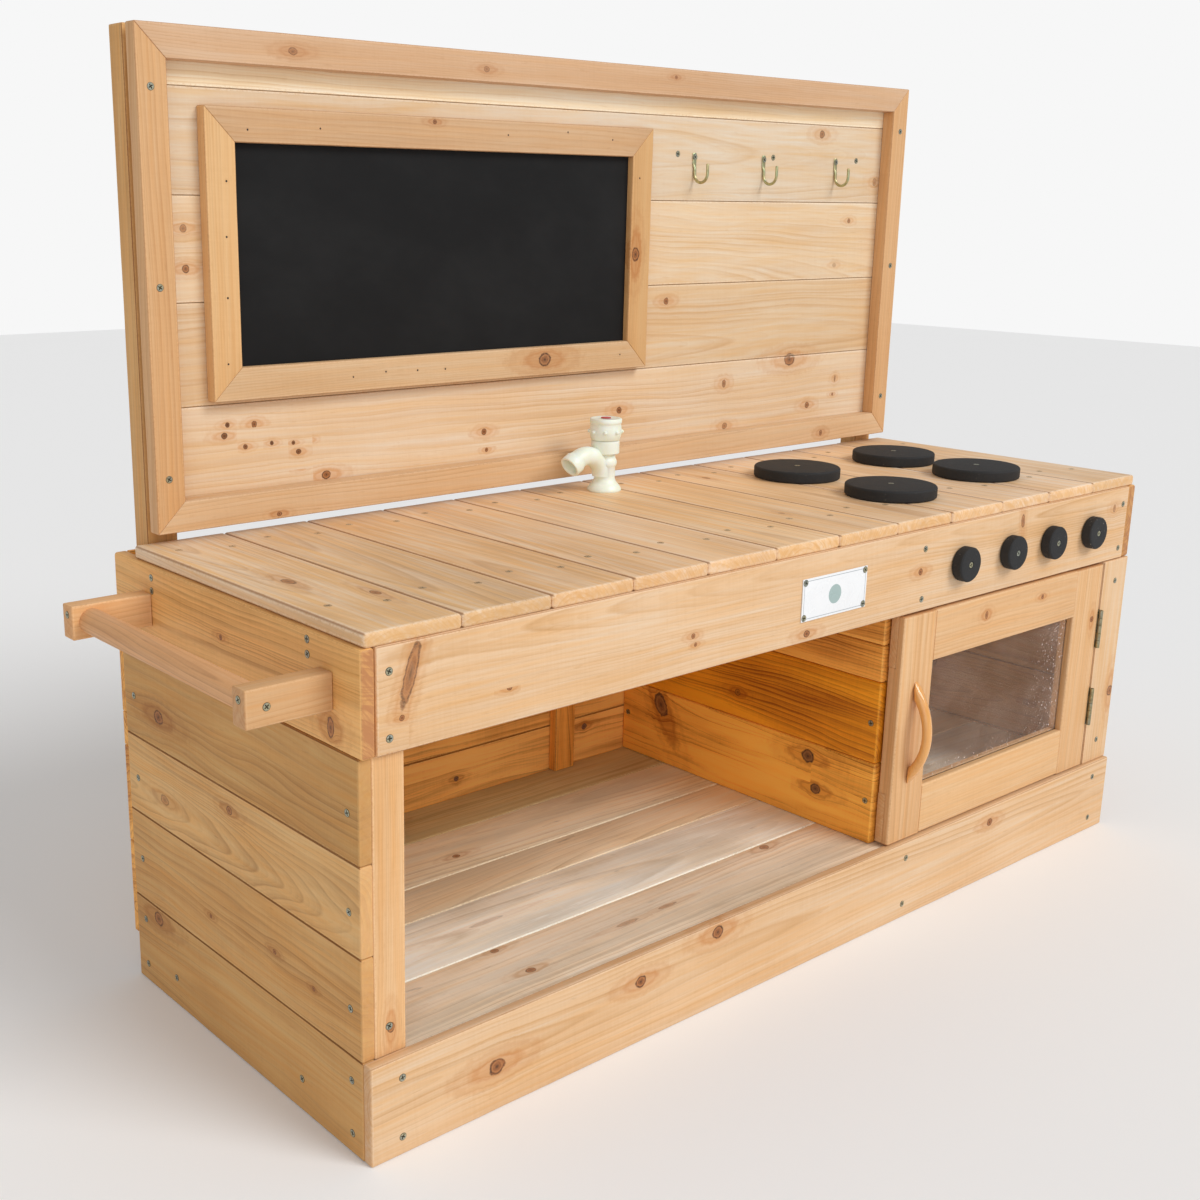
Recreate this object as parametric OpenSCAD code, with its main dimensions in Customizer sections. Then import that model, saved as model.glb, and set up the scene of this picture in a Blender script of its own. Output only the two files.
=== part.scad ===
// Wooden play kitchen: an open shelf, an oven with a hinged glazed door, a slatted worktop with a tap
// and four burners, a towel bar on the left side, and a tall backboard with a chalkboard and hooks.
// Lengths are millimetres. X runs along the front, Y to the back, Z up.
// The origin is the middle of the overall bounding box, at ground level.

/* [Cabinet] */
// Width across the outer faces of the side boards
cabinet_w = 1200; // [1160:1:1320]
// Depth from the plinth's face to the back boards' face
cabinet_d = 441; // [430:1:480]
// Height of the worktop above the ground
worktop_h = 477; // [460:1:520]
// Height of the plinth board
plinth_h = 96; // [90:1:104]
// Height of the apron boards under the worktop
apron_h = 93; // [88:1:98]
// Thickness of the side, floor, divider and worktop boards
board_t = 13; // [12:0.5:14]
// Thickness of the back boards
back_t = 8; // [6:0.5:10]
// Width of the square battens
batten_w = 33; // [30:1:35]
// Bevel along the long edges of every board
edge_ease = 1.5; // [0.5:0.1:2]

/* [Worktop] */
// Number of worktop boards
worktop_count = 12; // [10:1:14]
// Diameter of a burner disc
burner_d = 106; // [90:1:110]
// Thickness of a burner disc
burner_t = 14; // [10:1:18]
// Diameter of a control knob
knob_d = 40; // [34:1:44]
// Thickness of a control knob
knob_t = 13; // [10:1:16]

/* [Oven door] */
// Width of the door
door_w = 418; // [400:1:430]
// Thickness of the door frame
door_t = 18; // [16:1:18]
// Width of the door's stiles and rails
door_member_w = 60; // [50:1:66]
// How far the bow handle stands off the door
handle_rise = 25; // [22:1:30]
// Length of a butt hinge
hinge_len = 50; // [40:1:60]

/* [Backboard] */
// Height of the whole kitchen
overall_h = 961; // [920:1:1000]
// Width of the backboard frame's face
frame_w = 31; // [28:1:36]
// Width of the chalkboard over its frame
chalkboard_w = 599; // [560:1:620]
// Height of the chalkboard over its frame
chalkboard_h = 280; // [250:1:300]

/* [Towel bar] */
// How far the brackets reach out from the cabinet
bar_reach = 82; // [70:1:95]
// Diameter of the bar
bar_d = 25; // [20:0.5:27]

/* [Hidden] */

$fn = 48;
gap = 0.6;             // open joint between neighbouring boards

// Heights
worktop_z = worktop_h - board_t;
apron_z = worktop_z - apron_h;
floor_z = plinth_h - 2;
bearer_h = 66;                          // floor bearers, on edge
side_joints = [0, plinth_h, 193, 277, apron_z];
back_joints = [49, 154, 260, 297, apron_z];
divider_joints = [floor_z, 192, 289, 332, 427];
floor_joints = [0, 93, 186, 250, 344];   // from the front of the floor, back to the rear one

// Depths
plinth_t = 12;
apron_t = 14;
apron_y = 6.5;                          // face of the front apron
door_y = 5.5;                           // face of the door and of the fixed hinge stile
back_y = cabinet_d - back_t;            // face of the back boards
worktop_front_y = 7;
worktop_rear_y = 404;
worktop_side = 4.5;                     // worktop set in from the sides
worktop_batten_y = [72, 333];

// Uprights
divider_x = cabinet_w - 484;
divider_y = 26;
post_inset = 21;                        // backboard ends set in from the cabinet's sides

// Oven door
door_gap = 3;                           // between the door and the hinge stile
stile_w = 57;
door_x1 = cabinet_w - stile_w - door_gap;
door_x0 = door_x1 - door_w;
door_z0 = plinth_h + 2;
door_z1 = apron_z - 3;
lap_t = 10;                             // rear part of the thickness, cut away for the half laps
pane_t = 2;
rebate_w = 8;
rebate_t = 9;
hinge_z = [153, 258];
hinge_x = door_x1 + door_gap / 2;
hinge_y = door_y - 3;
knuckle_r = 2.6;
pin_r = 1.2;
run_clear = 0.05;                       // radial clearance of a turning fit
leaf_t = 1.2;
leaf_w = 15;
handle_len = 122;
handle_w = 13;
handle_bar_t = 10;
handle_foot = 20;
handle_x = door_x0 + door_member_w / 2;
handle_z = 228;

// Backboard
backboard_x0 = post_inset;
backboard_x1 = cabinet_w - post_inset;
backboard_z0 = worktop_h + 11;
backboard_y = 382;
frame_t = 17.6;
plank_y = backboard_y + frame_t;
plank_t = 7;
plank_joints = [508, 608, 709, 810, 909, overall_h - 6];
plank_lap = 10;                         // how far the planks reach behind the frame
chalkboard_x = 90;
chalkboard_z = 612;
chalkboard_face_w = 33;
chalkboard_t = 14;
slate_t = 6;
slate_lap = 10;

// Hooks
hook_x = [775, 904, 1050];
hook_wire_r = 1.8;
hook_bend_r = 10.5;
hook_top_z = 867;
hook_bend_z = 842;

// Towel bar
bracket_w = 20;
bracket_h = 33;
bracket_z = 404;
bracket_y = [46, 362];
bar_x = 19.5 - bar_reach;
bar_z = bracket_z + bracket_h / 2;
bar_let_in = 8;

// Worktop fittings
burners = [[826, 112], [1025, 128], [835, 259], [1032, 258]];
knob_x = [821, 917, 1004, 1096];
knob_z = 416;
knob_off = 0.5;                         // air behind a knob
plate_size = [105, 1.2, 45];
plate_pos = [541, apron_y - 1.2, 394];

// Tap, from the middle of its foot
tap_pos = [578, 338, worktop_h];
tap_foot_r = 20;
tap_neck_r = 12.2;
tap_collar_r = 16.7;
tap_body_h = 60;
spindle_r = 3;
spindle_h = 16;
spout_bend_r = 26;
spout_r = 11;
spout_turn = 121;
nozzle_len = 14;
nozzle_r = 13;
nozzle_lap = 1.2;
tap_handle_h = 25.5;
tap_handle_r = 18.6;

// Screws
head_r = 3.6;
shank_r = 1.9;
screw_proud = 0.3;
knob_shank_r = 2.2;

// Overall bounding box in cabinet coordinates
box_x = [-bar_reach - screw_proud, cabinet_w + screw_proud];
box_y = [door_y - handle_rise, cabinet_d + screw_proud];

// Moves cabinet coordinates (front left corner at the origin) to the part's own origin
module placed() {
    translate([-(box_x[0] + box_x[1]) / 2, -(box_y[0] + box_y[1]) / 2, 0]) children();
}

// Rectangle with its corners cut off
module eased_rect(a, b, e) {
    polygon([[e, 0], [a - e, 0], [a, e], [a, b - e], [a - e, b], [e, b], [0, b - e], [0, e]]);
}

// Board of size [x, y, z] whose four edges along its grain are eased
module board(size, grain) {
    e = edge_ease;
    if (grain == "x") rotate([90, 0, 90]) linear_extrude(size.x) eased_rect(size.y, size.z, e);
    if (grain == "y")
        translate([0, 0, size.z]) rotate([-90, 0, 0]) linear_extrude(size.y) eased_rect(size.x, size.z, e);
    if (grain == "z") linear_extrude(size.z) eased_rect(size.x, size.y, e);
}

// Turns a shape built along +Z so that it points along a named direction
module pointing(into) {
    turns = [["+x", [0, 90, 0]], ["-x", [0, -90, 0]], ["+y", [-90, 0, 0]], ["-y", [90, 0, 0]],
             ["+z", [0, 0, 0]], ["-z", [180, 0, 0]]];
    rotate(turns[search([into], turns)[0]][1]) children();
}

// Countersunk screw with its head at a point of the surface, driven in a named direction
module screw(at, into, length = 30, proud = screw_proud) {
    cone = head_r - shank_r;
    profile = [[0, -proud], [head_r, -proud], [head_r, 0], [shank_r, cone], [shank_r, length - 3], [0, length]];
    translate(at) pointing(into) rotate_extrude($fn = 16) polygon(profile);
}

// Bar of a mitred frame, long edge first, standing in the XZ plane with its face towards -Y
module mitred_bar(length, face, thickness) {
    translate([0, thickness, 0]) rotate([90, 0, 0]) linear_extrude(thickness)
        polygon([[0, 0], [length, 0], [length - face, face], [face, face]]);
}

// One of the four bars of a mitred frame of size w by h
module frame_bar(side, w, h, face, thickness) {
    if (side == "bottom") mitred_bar(w, face, thickness);
    if (side == "top") translate([0, 0, h]) mirror([0, 0, 1]) mitred_bar(w, face, thickness);
    if (side == "left") mirror([0, 0, 1]) rotate([0, 90, 0]) mitred_bar(h, face, thickness);
    if (side == "right") translate([w, 0, 0]) rotate([0, -90, 0]) mitred_bar(h, face, thickness);
}

// Cabinet

module plinth_front() {
    color("burlywood") placed() board([cabinet_w, plinth_t, plinth_h], "x");
}

// Boards of one side: the lowest starts behind the plinth, the others where first_y says
module side_boards(x, first_y) {
    for (i = [0:len(side_joints) - 2]) {
        y = i == 0 ? plinth_t : first_y;
        translate([x, y, side_joints[i]])
            board([board_t, back_y - y, side_joints[i + 1] - side_joints[i] - gap], "y");
    }
}

module side_boards_left() {
    color("peru") placed() side_boards(0, plinth_t);
}

module side_boards_right() {
    color("peru") placed() side_boards(cabinet_w - board_t, door_y + board_t);
}

module back_boards() {
    color("tan") placed() for (i = [0:len(back_joints) - 2])
        translate([0, back_y, back_joints[i]])
            board([cabinet_w, back_t, back_joints[i + 1] - back_joints[i] - gap], "x");
}

module floor_boards() {
    joints = concat([for (j = floor_joints) plinth_t + j], [back_y]);
    color("rosybrown") placed() for (i = [0:len(joints) - 2])
        translate([board_t, joints[i], floor_z - board_t])
            board([cabinet_w - 2 * board_t, joints[i + 1] - joints[i] - gap, board_t], "x");
}

module floor_bearers() {
    top = floor_z - board_t;
    xs = [board_t, (cabinet_w - batten_w) / 2, cabinet_w - board_t - batten_w];
    color("burlywood") placed() for (x = xs)
        translate([x, plinth_t, top - bearer_h]) board([batten_w, back_y - plinth_t, bearer_h], "y");
}

module divider_boards() {
    color("chocolate") placed() for (i = [0:len(divider_joints) - 2])
        translate([divider_x, divider_y, divider_joints[i]])
            board([board_t, back_y - divider_y, divider_joints[i + 1] - divider_joints[i] - gap], "y");
}

module divider_battens() {
    color("burlywood") placed() for (y = [divider_y, back_y - batten_w])
        translate([divider_x + board_t, y, floor_z]) board([batten_w, batten_w, apron_z - floor_z], "z");
}

module front_post_left() {
    color("burlywood") placed() translate([board_t, plinth_t, floor_z])
        board([batten_w, batten_w, apron_z - floor_z], "z");
}

// Rear corners, the middle of the back, and behind the hinge stile
module corner_battens() {
    right_x = cabinet_w - board_t - batten_w;
    rear_y = back_y - batten_w;
    spots = [[board_t, rear_y, batten_w], [right_x, rear_y, batten_w],
             [(cabinet_w - batten_w) / 2, back_y - board_t, board_t],
             [right_x, door_y + board_t, batten_w]];
    color("burlywood") placed() for (s = spots)
        translate([s[0], s[1], floor_z]) board([batten_w, s[2], apron_z - floor_z], "z");
}

module hinge_stile() {
    color("burlywood") placed() translate([cabinet_w - stile_w, door_y, plinth_h])
        board([stile_w, board_t, apron_z - plinth_h - gap], "z");
}

module apron_front() {
    inset = apron_t + 1;
    color("burlywood") placed() translate([inset, apron_y, apron_z])
        board([cabinet_w - 2 * inset, apron_t, apron_h], "x");
}

module side_apron(x) {
    translate([x, apron_y, apron_z]) board([apron_t, cabinet_d - apron_y, apron_h], "y");
}

module apron_left() {
    color("peru") placed() side_apron(0);
}

module apron_right() {
    color("peru") placed() side_apron(cabinet_w - apron_t);
}

module apron_rear() {
    color("tan") placed() translate([apron_t, back_y, apron_z])
        board([cabinet_w - 2 * apron_t, back_t, apron_h], "x");
}

// Blocks behind the front apron: at both ends and above the divider
module apron_blocks() {
    xs = [apron_t, divider_x + board_t, cabinet_w - apron_t - batten_w];
    color("burlywood") placed() for (x = xs)
        translate([x, apron_y + apron_t, apron_z]) board([batten_w, batten_w, apron_h], "z");
}

module worktop_boards() {
    pitch = (cabinet_w - 2 * worktop_side) / worktop_count;
    length = worktop_rear_y - worktop_front_y;
    color("wheat") placed() for (i = [0:worktop_count - 1])
        translate([worktop_side + i * pitch, worktop_front_y, worktop_z])
            board([pitch - gap, length, board_t], "y");
}

module worktop_battens() {
    color("burlywood") placed() for (y = worktop_batten_y)
        translate([apron_t, y, worktop_z - batten_w])
            board([cabinet_w - 2 * apron_t, batten_w, batten_w], "x");
}

// Disc with eased rims, standing on its lower face
module eased_disc(r, t, e) {
    rotate_extrude($fn = 96) polygon([[0, 0], [r - e, 0], [r, e], [r, t - e], [r - e, t], [0, t]]);
}

module burner(i) {
    color("dimgray") placed() translate([burners[i][0], burners[i][1], worktop_h])
        eased_disc(burner_d / 2, burner_t, 2);
}

module burner_front_left() { burner(0); }
module burner_front_right() { burner(1); }
module burner_rear_left() { burner(2); }
module burner_rear_right() { burner(3); }

module nameplate() {
    color("white") placed() translate(plate_pos) cube(plate_size);
}

// Backboard

module backboard_bar(side) {
    w = backboard_x1 - backboard_x0;
    h = overall_h - backboard_z0;
    color("sandybrown") placed() translate([backboard_x0, backboard_y, backboard_z0])
        frame_bar(side, w, h, frame_w, frame_t);
}

module backboard_frame_top() { backboard_bar("top"); }
module backboard_frame_bottom() { backboard_bar("bottom"); }
module backboard_frame_left() { backboard_bar("left"); }
module backboard_frame_right() { backboard_bar("right"); }

module backboard_planks() {
    x0 = backboard_x0 + plank_lap;
    length = backboard_x1 - plank_lap - x0;
    color("moccasin") placed() for (i = [0:len(plank_joints) - 2])
        translate([x0, plank_y, plank_joints[i]])
            board([length, plank_t, plank_joints[i + 1] - plank_joints[i] - gap], "x");
}

module backboard_posts() {
    depth = back_y - plank_y - plank_t;
    color("burlywood") placed() for (x = [backboard_x0, backboard_x1 - batten_w])
        translate([x, plank_y + plank_t, apron_z]) board([batten_w, depth, overall_h - apron_z], "z");
}

module slate_block(extra = 0) {
    lap = chalkboard_face_w - slate_lap;
    translate([chalkboard_x + lap, plank_y - slate_t, chalkboard_z + lap])
        cube([chalkboard_w - 2 * lap, slate_t + extra, chalkboard_h - 2 * lap]);
}

module chalkboard_bar(side) {
    color("sandybrown") placed() difference() {
        translate([chalkboard_x, plank_y - chalkboard_t, chalkboard_z])
            frame_bar(side, chalkboard_w, chalkboard_h, chalkboard_face_w, chalkboard_t);
        slate_block(1);
    }
}

module chalkboard_frame_top() { chalkboard_bar("top"); }
module chalkboard_frame_bottom() { chalkboard_bar("bottom"); }
module chalkboard_frame_left() { chalkboard_bar("left"); }
module chalkboard_frame_right() { chalkboard_bar("right"); }

module chalkboard_slate() {
    color("darkslategray") placed() slate_block();
}

// Wire hook: a flattened plate against the planks, then a U that opens upwards
module hook() {
    plate = [6.5, 1.6, 15];
    leg_y = plank_y - hook_wire_r - 0.2;
    tip_rise = 12;
    translate([-plate.x / 2, plank_y - plate.y, hook_top_z - plate.z]) cube(plate);
    translate([0, leg_y, hook_bend_z]) cylinder(h = hook_top_z - hook_bend_z - 12, r = hook_wire_r, $fn = 24);
    translate([0, leg_y - 2 * hook_bend_r, hook_bend_z]) cylinder(h = tip_rise, r = hook_wire_r, $fn = 24);
    translate([0, leg_y - hook_bend_r, hook_bend_z]) rotate([0, 90, 0]) rotate([0, 0, -90])
        rotate_extrude(angle = 180, $fn = 48) translate([hook_bend_r, 0]) circle(r = hook_wire_r, $fn = 24);
}

module utensil_hooks() {
    color("gold") placed() for (x = hook_x) translate([x, 0, 0]) hook();
}

// Towel bar

module bar_solid(r, let_in) {
    length = bracket_y[1] - bracket_y[0] - bracket_w + 2 * let_in;
    translate([bar_x, bracket_y[0] + bracket_w - let_in, bar_z]) rotate([-90, 0, 0])
        cylinder(h = length, r = r, $fn = 96);
}

module towel_brackets() {
    color("burlywood") placed() for (y = bracket_y) difference() {
        translate([-bar_reach, y, bracket_z]) board([bar_reach, bracket_w, bracket_h], "x");
        bar_solid(bar_d / 2, bar_let_in);
    }
}

module towel_dowel() {
    color("peru") placed() bar_solid(bar_d / 2, bar_let_in);
}

// Tap

// Points on an arc, from one angle to another
function arc(centre, r, from, to, steps = 8) =
    [for (i = [0:steps]) let (a = from + (to - from) * i / steps) centre + r * [cos(a), sin(a)]];

module tap_lathe() {
    flare = arc([tap_neck_r + 11, 17], 11, 235, 180);
    belly = arc([tap_neck_r - 6, 34], 8, -40, 40);
    rotate_extrude($fn = 64) polygon(concat(
        [[0, 0], [tap_foot_r, 0], [tap_foot_r, 3], [tap_foot_r - 2, 6]],
        flare, belly,
        [[tap_neck_r, 44], [tap_collar_r, 45], [tap_collar_r, tap_body_h],
         [spindle_r, tap_body_h], [spindle_r, tap_body_h + spindle_h], [0, tap_body_h + spindle_h]]
    ));
}

// Spout: an arc that leaves the neck upwards and ends in a hollow nozzle facing out to the left
module spout() {
    bend_at = [-spout_bend_r - 5, 0, 18];
    translate(bend_at) rotate([90, 0, 0])
        rotate_extrude(angle = spout_turn, $fn = 72) translate([spout_bend_r, 0]) circle(r = spout_r, $fn = 48);
    translate(bend_at) rotate([0, -spout_turn, 0]) translate([spout_bend_r, 0, 0]) difference() {
        union() {
            translate([0, 0, -nozzle_lap]) cylinder(h = nozzle_lap + 3, r1 = spout_r + 0.5, r2 = nozzle_r - 0.6);
            translate([0, 0, 3]) cylinder(h = nozzle_len - 3, r = nozzle_r);
        }
        translate([0, 0, 4]) cylinder(h = nozzle_len, r = nozzle_r - 3);
    }
}

module tap_body() {
    color("ivory") placed() translate(tap_pos) union() {
        tap_lathe();
        spout();
    }
}

module tap_handle() {
    r = tap_handle_r;
    h = tap_handle_h;
    nub_count = 8;
    color("ivory") placed() translate(tap_pos + [0, 0, tap_body_h + 0.5]) difference() {
        union() {
            rotate_extrude($fn = 64) polygon([
                [0, 0], [r - 2, 0], [r, 5], [r + 0.5, 10], [r - 0.4, 18],
                [r, 20], [r, h - 1], [r - 1, h], [0, h]
            ]);
            for (i = [0:nub_count - 1]) rotate(i * 360 / nub_count)
                translate([r + 0.4, 0, 10]) sphere(r = 2.3, $fn = 24);
        }
        translate([0, 0, -1]) cylinder(h = spindle_h + 1, r = spindle_r + run_clear);
    }
}

module tap_indicator() {
    color("crimson") placed() translate(tap_pos + [0, 0, tap_body_h + 0.5 + tap_handle_h])
        cylinder(h = 0.8, r = 6);
}

// Knobs, each turning on the shank of its own screw

module knob(i) {
    bore_r = knob_shank_r + run_clear;
    sink_r = head_r + 0.3;
    color("dimgray") placed() translate([knob_x[i], apron_y - knob_off, knob_z]) pointing("-y") difference() {
        eased_disc(knob_d / 2, knob_t, 2);
        translate([0, 0, -1]) cylinder(h = knob_t + 2, r = bore_r);
        translate([0, 0, knob_t - 3]) cylinder(h = 4, r = sink_r);
    }
}

module knob_1() { knob(0); }
module knob_2() { knob(1); }
module knob_3() { knob(2); }
module knob_4() { knob(3); }

module knob_screws() {
    head_y = apron_y - knob_off - knob_t + 0.4;
    seat_y = apron_y - knob_off - knob_t + 2.6;
    color("silver") placed() for (x = knob_x) translate([x, 0, knob_z]) {
        translate([0, head_y, 0]) rotate([-90, 0, 0]) cylinder(h = seat_y - head_y, r = head_r);
        translate([0, seat_y, 0]) rotate([-90, 0, 0]) cylinder(h = knob_t + 8, r = knob_shank_r);
    }
}

// Oven door: half-lapped stiles and rails, with a rebate behind for the pane

module door_stile(x) {
    h = door_z1 - door_z0;
    inner = x < door_x0 + door_w / 2 ? door_member_w - rebate_w : 0;
    translate([x, door_y, door_z0]) difference() {
        board([door_member_w, door_t, h], "z");
        for (z = [-1, h - door_member_w])
            translate([-1, door_t - lap_t, z]) cube([door_member_w + 2, lap_t + 1, door_member_w + 1]);
        translate([inner, door_t - rebate_t, door_member_w - rebate_w])
            cube([rebate_w, rebate_t + 1, h - 2 * door_member_w + 2 * rebate_w]);
    }
}

module door_stile_left() {
    color("burlywood") placed() door_stile(door_x0);
}

module door_stile_right() {
    color("burlywood") placed() door_stile(door_x1 - door_member_w);
}

// Rail between the stiles, with tongues that lap behind them
module door_rail(z, rebate_z) {
    clear_w = door_w - 2 * door_member_w;
    translate([door_x0, door_y, z]) difference() {
        union() {
            translate([door_member_w, 0, 0]) board([clear_w, door_t, door_member_w], "x");
            translate([0, door_t - lap_t, 0]) cube([door_w, lap_t, door_member_w]);
        }
        translate([door_member_w - rebate_w, door_t - rebate_t, rebate_z])
            cube([clear_w + 2 * rebate_w, rebate_t + 1, rebate_w + 1]);
    }
}

module door_rail_top() {
    color("tan") placed() door_rail(door_z1 - door_member_w, -1);
}

module door_rail_bottom() {
    color("tan") placed() door_rail(door_z0, door_member_w - rebate_w);
}

pane_x0 = door_x0 + door_member_w - rebate_w;
pane_z0 = door_z0 + door_member_w - rebate_w;
pane_w = door_w - 2 * door_member_w + 2 * rebate_w;
pane_h = door_z1 - door_z0 - 2 * door_member_w + 2 * rebate_w;
pane_y = door_y + door_t - rebate_t;

module door_window() {
    color("lightblue", 0.4) placed() translate([pane_x0, pane_y, pane_z0]) cube([pane_w, pane_t, pane_h]);
}

// Four strips that hold the pane in its rebate
module door_window_beads() {
    y = pane_y + pane_t;
    t = rebate_t - pane_t;
    color("tan") placed() translate([pane_x0, y, pane_z0]) {
        for (z = [0, pane_h - rebate_w]) translate([0, 0, z]) cube([pane_w, t, rebate_w]);
        for (x = [0, pane_w - rebate_w])
            translate([x, 0, rebate_w + gap / 2]) cube([rebate_w, t, pane_h - 2 * rebate_w - gap]);
    }
}

// Bow handle: the space between two arcs, cut off at the door's face
module door_handle() {
    half = handle_len / 2;
    inner_half = half - handle_foot;
    inner_rise = handle_rise - handle_bar_t;
    outer_r = (half * half + handle_rise * handle_rise) / (2 * handle_rise);
    inner_r = (inner_half * inner_half + inner_rise * inner_rise) / (2 * inner_rise);
    color("orange") placed() translate([handle_x - handle_w / 2, door_y, handle_z]) rotate([90, 0, 90])
        linear_extrude(handle_w) difference() {
            translate([outer_r - handle_rise, 0]) circle(r = outer_r, $fn = 180);
            translate([inner_r - inner_rise, 0]) circle(r = inner_r, $fn = 180);
            translate([0, -2 * outer_r]) square([3 * outer_r, 4 * outer_r]);
        }
}

// Butt hinges: five knuckles, of which the door's leaf holds the second and fourth

knuckle_count = 5;
knuckle_len = hinge_len / knuckle_count;
knuckle_gap = 0.4;

module knuckle_row(picks, bore_r) {
    for (i = picks) translate([0, 0, i * knuckle_len + knuckle_gap / 2]) difference() {
        cylinder(h = knuckle_len - knuckle_gap, r = knuckle_r);
        translate([0, 0, -1]) cylinder(h = knuckle_len + 2, r = bore_r);
    }
}

// Leaf of a butt hinge; side is -1 for the door's leaf and 1 for the cabinet's
module hinge_leaf(side, picks, bore_r) {
    plate_x = side < 0 ? -door_gap / 2 : door_gap / 2 - leaf_t;
    root_y = knuckle_r + 0.3;
    difference() {
        union() {
            knuckle_row(picks, bore_r);
            translate([plate_x, root_y, 0]) cube([leaf_t, leaf_w, hinge_len]);
            for (i = picks) translate([plate_x, 1.4, i * knuckle_len + knuckle_gap / 2])
                cube([leaf_t, root_y, knuckle_len - knuckle_gap]);
        }
        translate([0, 0, -1]) cylinder(h = hinge_len + 2, r = bore_r);
    }
}

module hinge_leaves_cabinet() {
    color("gold") placed() for (z = hinge_z)
        translate([hinge_x, hinge_y, z]) hinge_leaf(1, [0, 2, 4], pin_r);
}

module hinge_leaves_door() {
    color("gold") placed() for (z = hinge_z)
        translate([hinge_x, hinge_y, z]) hinge_leaf(-1, [1, 3], pin_r + run_clear);
}

module hinge_pins() {
    color("silver") placed() for (z = hinge_z)
        translate([hinge_x, hinge_y, z]) cylinder(h = hinge_len, r = pin_r);
}

// Screws

hinge_screw_z = [for (z = hinge_z, dz = [10, hinge_len - 10]) z + dz];
hinge_screw_y = hinge_y + knuckle_r + leaf_w / 2;

module carcass_screws() {
    side_y = [29, back_y - 20];
    side_z = [20, 72, 141, 231, 320];
    bearer_screws = [[110, 33], [349, 31]];
    side_spots = concat([for (y = side_y, z = side_z) [y, z]], bearer_screws);
    back_x = [29, cabinet_w / 2, cabinet_w - 29];
    color("silver") placed() {
        for (x = [33, 753, cabinet_w - 36], z = [18, 76]) screw([x, 0, z], "+y");
        for (x = [27.5, 750, cabinet_w - 27.5], z = [385, 442]) screw([x, apron_y, z], "+y");
        for (z = [125, 342]) screw([cabinet_w - 27, door_y, z], "+y");
        screw([28, plinth_t, 122], "+y", 20);
        for (yz = side_spots) {
            screw([0, yz[0], yz[1]], "+x");
            screw([cabinet_w, yz[0], yz[1]], "-x");
        }
        for (yz = [[84, 443], [84, 456], [361, 440], [361, 453]]) {
            screw([0, yz[0], yz[1]], "+x", 26);
            screw([cabinet_w, yz[0], yz[1]], "-x", 26);
        }
        for (x = back_x, i = [0:len(back_joints) - 2])
            screw([x, cabinet_d, (back_joints[i] + back_joints[i + 1]) / 2], "-y", 18);
        for (x = [38, cabinet_w - 38], z = [392, 442]) screw([x, cabinet_d, z], "-y");
        for (yz = [[30, 145], [30, 239], [417, 147], [417, 239]]) screw([divider_x, yz[0] + 6, yz[1]], "+x");
        for (z = hinge_screw_z) screw([hinge_x + door_gap / 2 - leaf_t, hinge_screw_y, z], "+x", 14, 0);
    }
}

module worktop_screws() {
    pitch = (cabinet_w - 2 * worktop_side) / worktop_count;
    color("silver") placed() {
        for (i = [0:worktop_count - 1], y = worktop_batten_y, s = [-1, 1]) {
            x = worktop_side + (i + 0.5) * pitch + s * pitch / 4;
            screw([x, y + batten_w / 2 - 8 * s, worktop_h], "-z");
        }
        screw([tap_pos.x, tap_pos.y - 12, worktop_z], "+z", 22);
    }
}

module backboard_screws() {
    xs = [backboard_x0 + 14, backboard_x1 - 14];
    color("silver") placed() for (x = xs, z = [542, 725, 905]) screw([x, backboard_y, z], "+y", 40);
}

module fitting_screws() {
    plate_edge = 4;
    wall_screw_x = [hook_x[0] - 29, hook_x[1] + 19, hook_x[2] + 45];
    color("silver") placed() {
        for (b = burners) screw([b[0], b[1], worktop_h + burner_t], "-z", 24);
        for (x = hook_x) screw([x, plank_y - 1.6, hook_top_z - 5], "+y", 8);
        for (x = wall_screw_x) screw([x, plank_y, hook_top_z - 2], "+y", 6);
        for (x = [plate_edge, plate_size.x - plate_edge], z = [plate_edge, plate_size.z - plate_edge])
            screw(plate_pos + [x, 0, z], "+y", 12);
        screw([bar_x, bracket_y[0], bar_z], "+y");
        screw([bar_x, bracket_y[1] + bracket_w, bar_z], "-y");
        for (y = bracket_y) screw([-bar_reach, y + bracket_w / 2, bar_z + 7], "+x", bar_reach + 12);
    }
}

module door_screws() {
    hole_gap = 96;
    color("silver") placed() {
        for (s = [-1, 1]) screw([handle_x, door_y + door_t, handle_z + s * hole_gap / 2], "-y", door_t + 5);
        for (z = hinge_screw_z) screw([hinge_x - door_gap / 2 + leaf_t, hinge_screw_y, z], "-x", 14, 0);
    }
}

plinth_front();
side_boards_left();
side_boards_right();
back_boards();
floor_boards();
floor_bearers();
divider_boards();
divider_battens();
front_post_left();
corner_battens();
hinge_stile();
apron_front();
apron_left();
apron_right();
apron_rear();
apron_blocks();
worktop_boards();
worktop_battens();
burner_front_left();
burner_front_right();
burner_rear_left();
burner_rear_right();
nameplate();
backboard_frame_top();
backboard_frame_bottom();
backboard_frame_left();
backboard_frame_right();
backboard_planks();
backboard_posts();
chalkboard_frame_top();
chalkboard_frame_bottom();
chalkboard_frame_left();
chalkboard_frame_right();
chalkboard_slate();
utensil_hooks();
towel_brackets();
towel_dowel();
tap_body();
hinge_leaves_cabinet();
hinge_pins();
carcass_screws();
worktop_screws();
backboard_screws();
fitting_screws();
knob_screws();
door_stile_left();
door_stile_right();
door_rail_top();
door_rail_bottom();
door_window();
door_window_beads();
door_handle();
hinge_leaves_door();
door_screws();
knob_1();
knob_2();
knob_3();
knob_4();
tap_handle();
tap_indicator();
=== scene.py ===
import math
import random

import bmesh
import bpy
import numpy as np
from mathutils import Matrix, Vector, noise


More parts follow.
